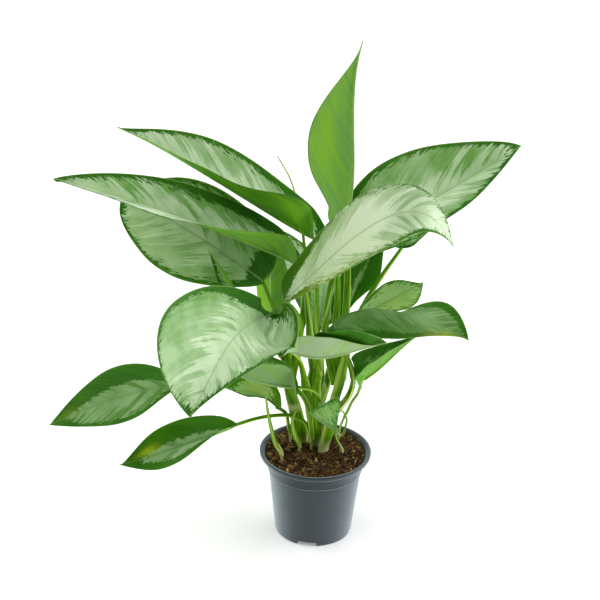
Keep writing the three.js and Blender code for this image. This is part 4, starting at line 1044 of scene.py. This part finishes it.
SHOOTS = {
    "shoot_main": [
        ([(0, 17, BURIED, 6.2), (0, 16, 98, 6.2), (-1, 3, 125, 6.3), (-4, 2, 150, 7.2), (-4, 0, 176, 7.4),
          (-1, -1, 203, 7.3), (-2, 2, 226, 5), (-3, 4, 256, 3.6), (-4, 4, 296, 3)],
         "leaf_left_upper", (0, 1, 0)),
        ([(-3, 4, 128, 5), (4, 12, 150, 5), (11, 17, 174, 4.8), (16, 23, 198, 4)],
         "leaf_right_hidden", (-1, 0, 0)),
        ([(-1, -2, 189, 6), (-7, -3, 219, 4.6), (-11, -6, 261, 4), (-15, -10, 296, 3.2)],
         "leaf_left_middle", (0.5, 1, 0)),
        ([(-4, 4, 158, 6), (2, 16, 184, 5)], "leaf_back_low", (0, -1, 0)),
        ([(-6, 0, 146, 4.6), (-11, -6, 170, 4), (-15, -14, 196, 3.4), (-21, -34, 226, 2.4)],
         "leaf_rolled_front", (0, 1, 0)),
    ],
    "shoot_right": [
        ([(8, 4, BURIED, 6), (8, 4, 97, 6), (12.5, 0, 121, 6.3), (14, 0, 141, 6.2), (17, 1, 159, 6.6),
          (21, 2, 178, 7.5), (24, 4, 196, 7.3), (26, 7, 214, 5.5), (27, 12, 247, 4.6), (28, 22, 280, 3.8),
          (28, 32, 304, 3)], "leaf_back_high", (-1, 1, 0)),
        ([(25, 6, 197, 6), (34, 14, 229, 3.8), (43, 20, 256, 3.2), (62, 28, 289, 2.8)],
         "leaf_back_right", (-1, 0, 0)),
        ([(24, 6, 190, 6), (19, 9, 219, 4.4), (17.5, 9, 243, 4), (18, 10, 278, 3.4), (16, 12, 310, 2.6)],
         "leaf_top_upright", (0, 1, 0)),
        ([(21, 2, 178, 6), (13, 5, 203, 4.6), (6.5, 8, 234, 4.2), (7, 10, 266, 3.9), (12, 13, 292, 3.2)],
         "leaf_right_upper", (0, 1, 0)),
        ([(24, 6, 180, 6), (27, 3, 215, 3.2)], "leaf_small_right", (-1, 1, 0)),
        ([(14, 0, 139, 5), (23, -4, 152, 4.6), (33, -6, 170, 4.3), (36, -8, 190, 4), (30, -14, 214, 3.4),
          (18, -22, 238, 2.8)], "leaf_right_drooping", (-1, 0, 0)),
        ([(12, 0, 141, 5), (6, -12, 157, 2.6), (-4, -20, 180, 2.2)], "leaf_under_front", (0, 1, 0)),
    ],
    "shoot_left": [
        ([(-15, 22, BURIED, 5.6), (-15, 21, 98, 5.6), (-18, 4, 124, 5.8), (-24, 0, 151, 6.2),
          (-29, -4, 176, 6.5), (-30, -6, 202, 6), (-35, -8, 232, 4), (-45, -8, 262, 2.8),
          (-53, -7, 282, 2.4)], "leaf_left_broad", (0, 1, 0)),
        ([(-29, -6, 190, 5.5), (-24, -14, 224, 5.4), (-21, -26, 259, 4.8), (-29, -38, 284, 3.2)],
         "leaf_front_arching", (0, 1, 0)),
        ([(-30, -10, 198, 3.5), (-34, -25, 241, 2.8), (-40, -36, 266, 2.4)], "leaf_front_left", (0, 1, 0)),
        ([(-30, -6, 205, 4), (-36, -3, 225, 2.6)], "leaf_left_upright", (1, 0, 0)),
        ([(-28, -4, 180, 4), (-20, 14, 230, 3)], "leaf_back_left", (0, -1, 0)),
        ([(-31, -8, 205, 4), (-48, -18, 232, 2.4)], "leaf_rolled_spear", (1, 0, 0)),
        ([(-20, 14, 225, 2.6), (-12, 22, 270, 2), (-18, 30, 325, 1.6), (-24, 46, 355, 1.2),
          (-34, 60, 384, 0.9), (-48, 66, 407, 0.6)], None, (0, -1, 0)),
    ],
    "shoot_thin": [
        ([(-3, 5, BURIED, 2.8), (-3, 5, 97, 2.8), (-7, -10, 123, 2.6), (-12, -10, 136, 2.3),
          (-20, -10, 141, 2.2), (-29, -12, 145, 2.1), (-49, -18, 147, 2), (-65, -25, 147, 2)],
         "leaf_lowest_left", (1, 0, 0)),
        ([(-4, -2, 108, 2.8), (-5, -12, 130, 2.6), (-8, -18, 154, 2.3), (-15, -22, 174, 2.2),
          (-24, -19, 182, 2.2), (-33, -18, 186, 2.2), (-44, -13, 189, 2.1), (-66, 0, 194, 2.1),
          (-97, -18, 204, 2), (-118, -42, 206, 2)], "leaf_low_left", (1, -1, 0)),
    ],
    "shoot_low_left": [
        ([(-26, 20, BURIED, 2.3), (-26, 20, 97, 2.3), (-29, 4, 120, 2.2), (-32, -4, 142, 2)],
         "leaf_small_low_left", (1, 0, 0)),
    ],
    "shoot_small_front": [
        ([(28, -1, BURIED, 2), (28, -1, 97, 2), (23, -10, 115, 1.9), (21, -18, 127, 1.7)],
         "leaf_small_front", (0, 1, 0)),
    ],
    "shoot_small_right": [
        ([(25, 36, BURIED, 2.2), (25, 36, 97, 2.1), (28, 24, 119, 2), (33, 14, 137, 1.9),
          (37, 6, 153, 1.9), (42, -4, 168, 1.9), (44, -11, 180, 1.9)], "leaf_right_trough", (-1, 0, 0)),
    ],
    "sprout_left": [
        ([(-34, -16, BURIED, 3.8), (-34, -16, 97, 3.8), (-42, -22, 117, 3.2), (-48, -28, 143, 2.4),
          (-52, -33, 169, 1.6), (-54, -37, 188, 0.7)], None, (1, 0, 0)),
    ],
    "sprout_front": [
        ([(-15, 3, BURIED, 3.6), (-15, 1, 97, 3.6), (-22, -22, 127, 3.2), (-25, -26, 146, 2.2),
          (-21, -28, 163, 0.7)], None, (1, 0, 0)),
    ],
    "stem_curled": [
        ([(27, 28, BURIED, 1.6), (27, 27, 97, 1.6), (30, 18, 106, 1.5), (32, 13, 118, 1.4),
          (33, 8, 130, 1.2), (29, 4, 141, 1.1), (24, 0, 147, 0.8)], None, (1, 0, 0)),
    ],
}
CREAM_RINGS = {"shoot_right": (159,), "shoot_left": (151,)}
for number, (name, stalks) in enumerate(SHOOTS.items()):
    tubes = []
    rings = CREAM_RINGS.get(name, ())
    for k, (route, carried, facing) in enumerate(stalks):
        tubes.append(stalk(route, carried, facing, rings, 10 * number + k + 1))
    piece = skin(name + "_living", tubes)
    piece.data.materials.append(stalk_tissue)
    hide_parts(name)
    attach(piece, "root")

# ---------------------------------------------------------------------------------------------
# The studio: a pale floor that runs out of the picture, a white surround that lights the plant from
# all sides, one broad light overhead, one behind and one panel on each side of the pot.
# ---------------------------------------------------------------------------------------------
floor_mesh = bpy.data.meshes.new("floor")
floor_mesh.from_pydata([(-12, -12, 0), (12, -12, 0), (12, 12, 0), (-12, 12, 0)], [], [(0, 1, 2, 3)])
floor = bpy.data.objects.new("floor", floor_mesh)
bpy.context.scene.collection.objects.link(floor)
paper, tree, surface = new_material("white_paper_sweep_matt")
shader = node(
    tree, "BsdfPrincipled", ("Base Color", linear("#f2f2f2")), ("Roughness", 0.95),
    ("Emission Color", (1, 1, 1, 1)), ("Emission Strength", 0.25),
)
tree.links.new(shader.outputs[0], surface)
floor_mesh.materials.append(paper)

# The surround is darker in front, towards the camera, and white beside and behind.
world = bpy.data.worlds.new("white_surround")
world.use_nodes = True
tree = world.node_tree
ray = node(tree, "SeparateXYZ", (0, node(tree, "TexCoord").outputs["Generated"]))
bright = node(
    tree, "MapRange", ("Value", ray.outputs[1]), ("From Min", -0.7), ("From Max", 0.3),
    ("To Min", 0.2), ("To Max", 0.6),
).outputs[0]
tree.links.new(bright, tree.nodes["Background"].inputs["Strength"])
tree.nodes["Background"].inputs["Color"].default_value = (1, 1, 1, 1)
bpy.context.scene.world = world


def lamp(kind, place, target, strength, **settings):
    """A light at a place, turned to look at its target; settings are its size or its angle."""
    light = bpy.data.lights.new(kind.lower() + "_light", kind)
    light.energy = strength
    for key, value in settings.items():
        setattr(light, key, value)
    made = bpy.data.objects.new(light.name, light)
    made.location = place
    made.rotation_euler = (Vector(target) - Vector(place)).to_track_quat("-Z", "Y").to_euler()
    bpy.context.scene.collection.objects.link(made)


lamp("SUN", (-0.5, -0.5, 2.4), (0, 0, 0.3), 1.25, angle=math.radians(45))
lamp("AREA", (0.8, 1.4, 1.9), (0, 0, 0.3), 12, shape="SQUARE", size=1.2)
lamp("AREA", (1.15, -0.15, 0.4), (0, 0, 0.15), 12, shape="RECTANGLE", size=1.6, size_y=0.6)
lamp("AREA", (-1.1, 0.44, 0.4), (0, 0, 0.15), 7, shape="RECTANGLE", size=0.7, size_y=0.6)

# The camera stands 1.7 m away, 26 degrees above level, and leans 1.5 degrees to the right. Half of
# the picture's side and the focal length, both in pixels, give its angle of view.
AIM = Vector((-0.0207, 0, 0.2748))
DISTANCE = 1.7
ELEVATION = math.radians(25.9)
ROLL = math.radians(1.5)
HALF_PICTURE = 300
FOCAL_LENGTH = 1652.8
camera_data = bpy.data.cameras.new("camera")
camera_data.angle = 2 * math.atan(HALF_PICTURE / FOCAL_LENGTH)
camera = bpy.data.objects.new("camera", camera_data)
back = Vector((0, -math.cos(ELEVATION), math.sin(ELEVATION)))
level = Vector((1, 0, 0))
upright = back.cross(level)
right = level * math.cos(ROLL) + upright * math.sin(ROLL)
top = upright * math.cos(ROLL) - level * math.sin(ROLL)
turned = Matrix((right, top, back)).transposed().to_4x4()
camera.matrix_world = Matrix.Translation(AIM + back * DISTANCE) @ turned
bpy.context.scene.collection.objects.link(camera)
bpy.context.scene.camera = camera
bpy.context.scene.view_settings.view_transform = "Standard"
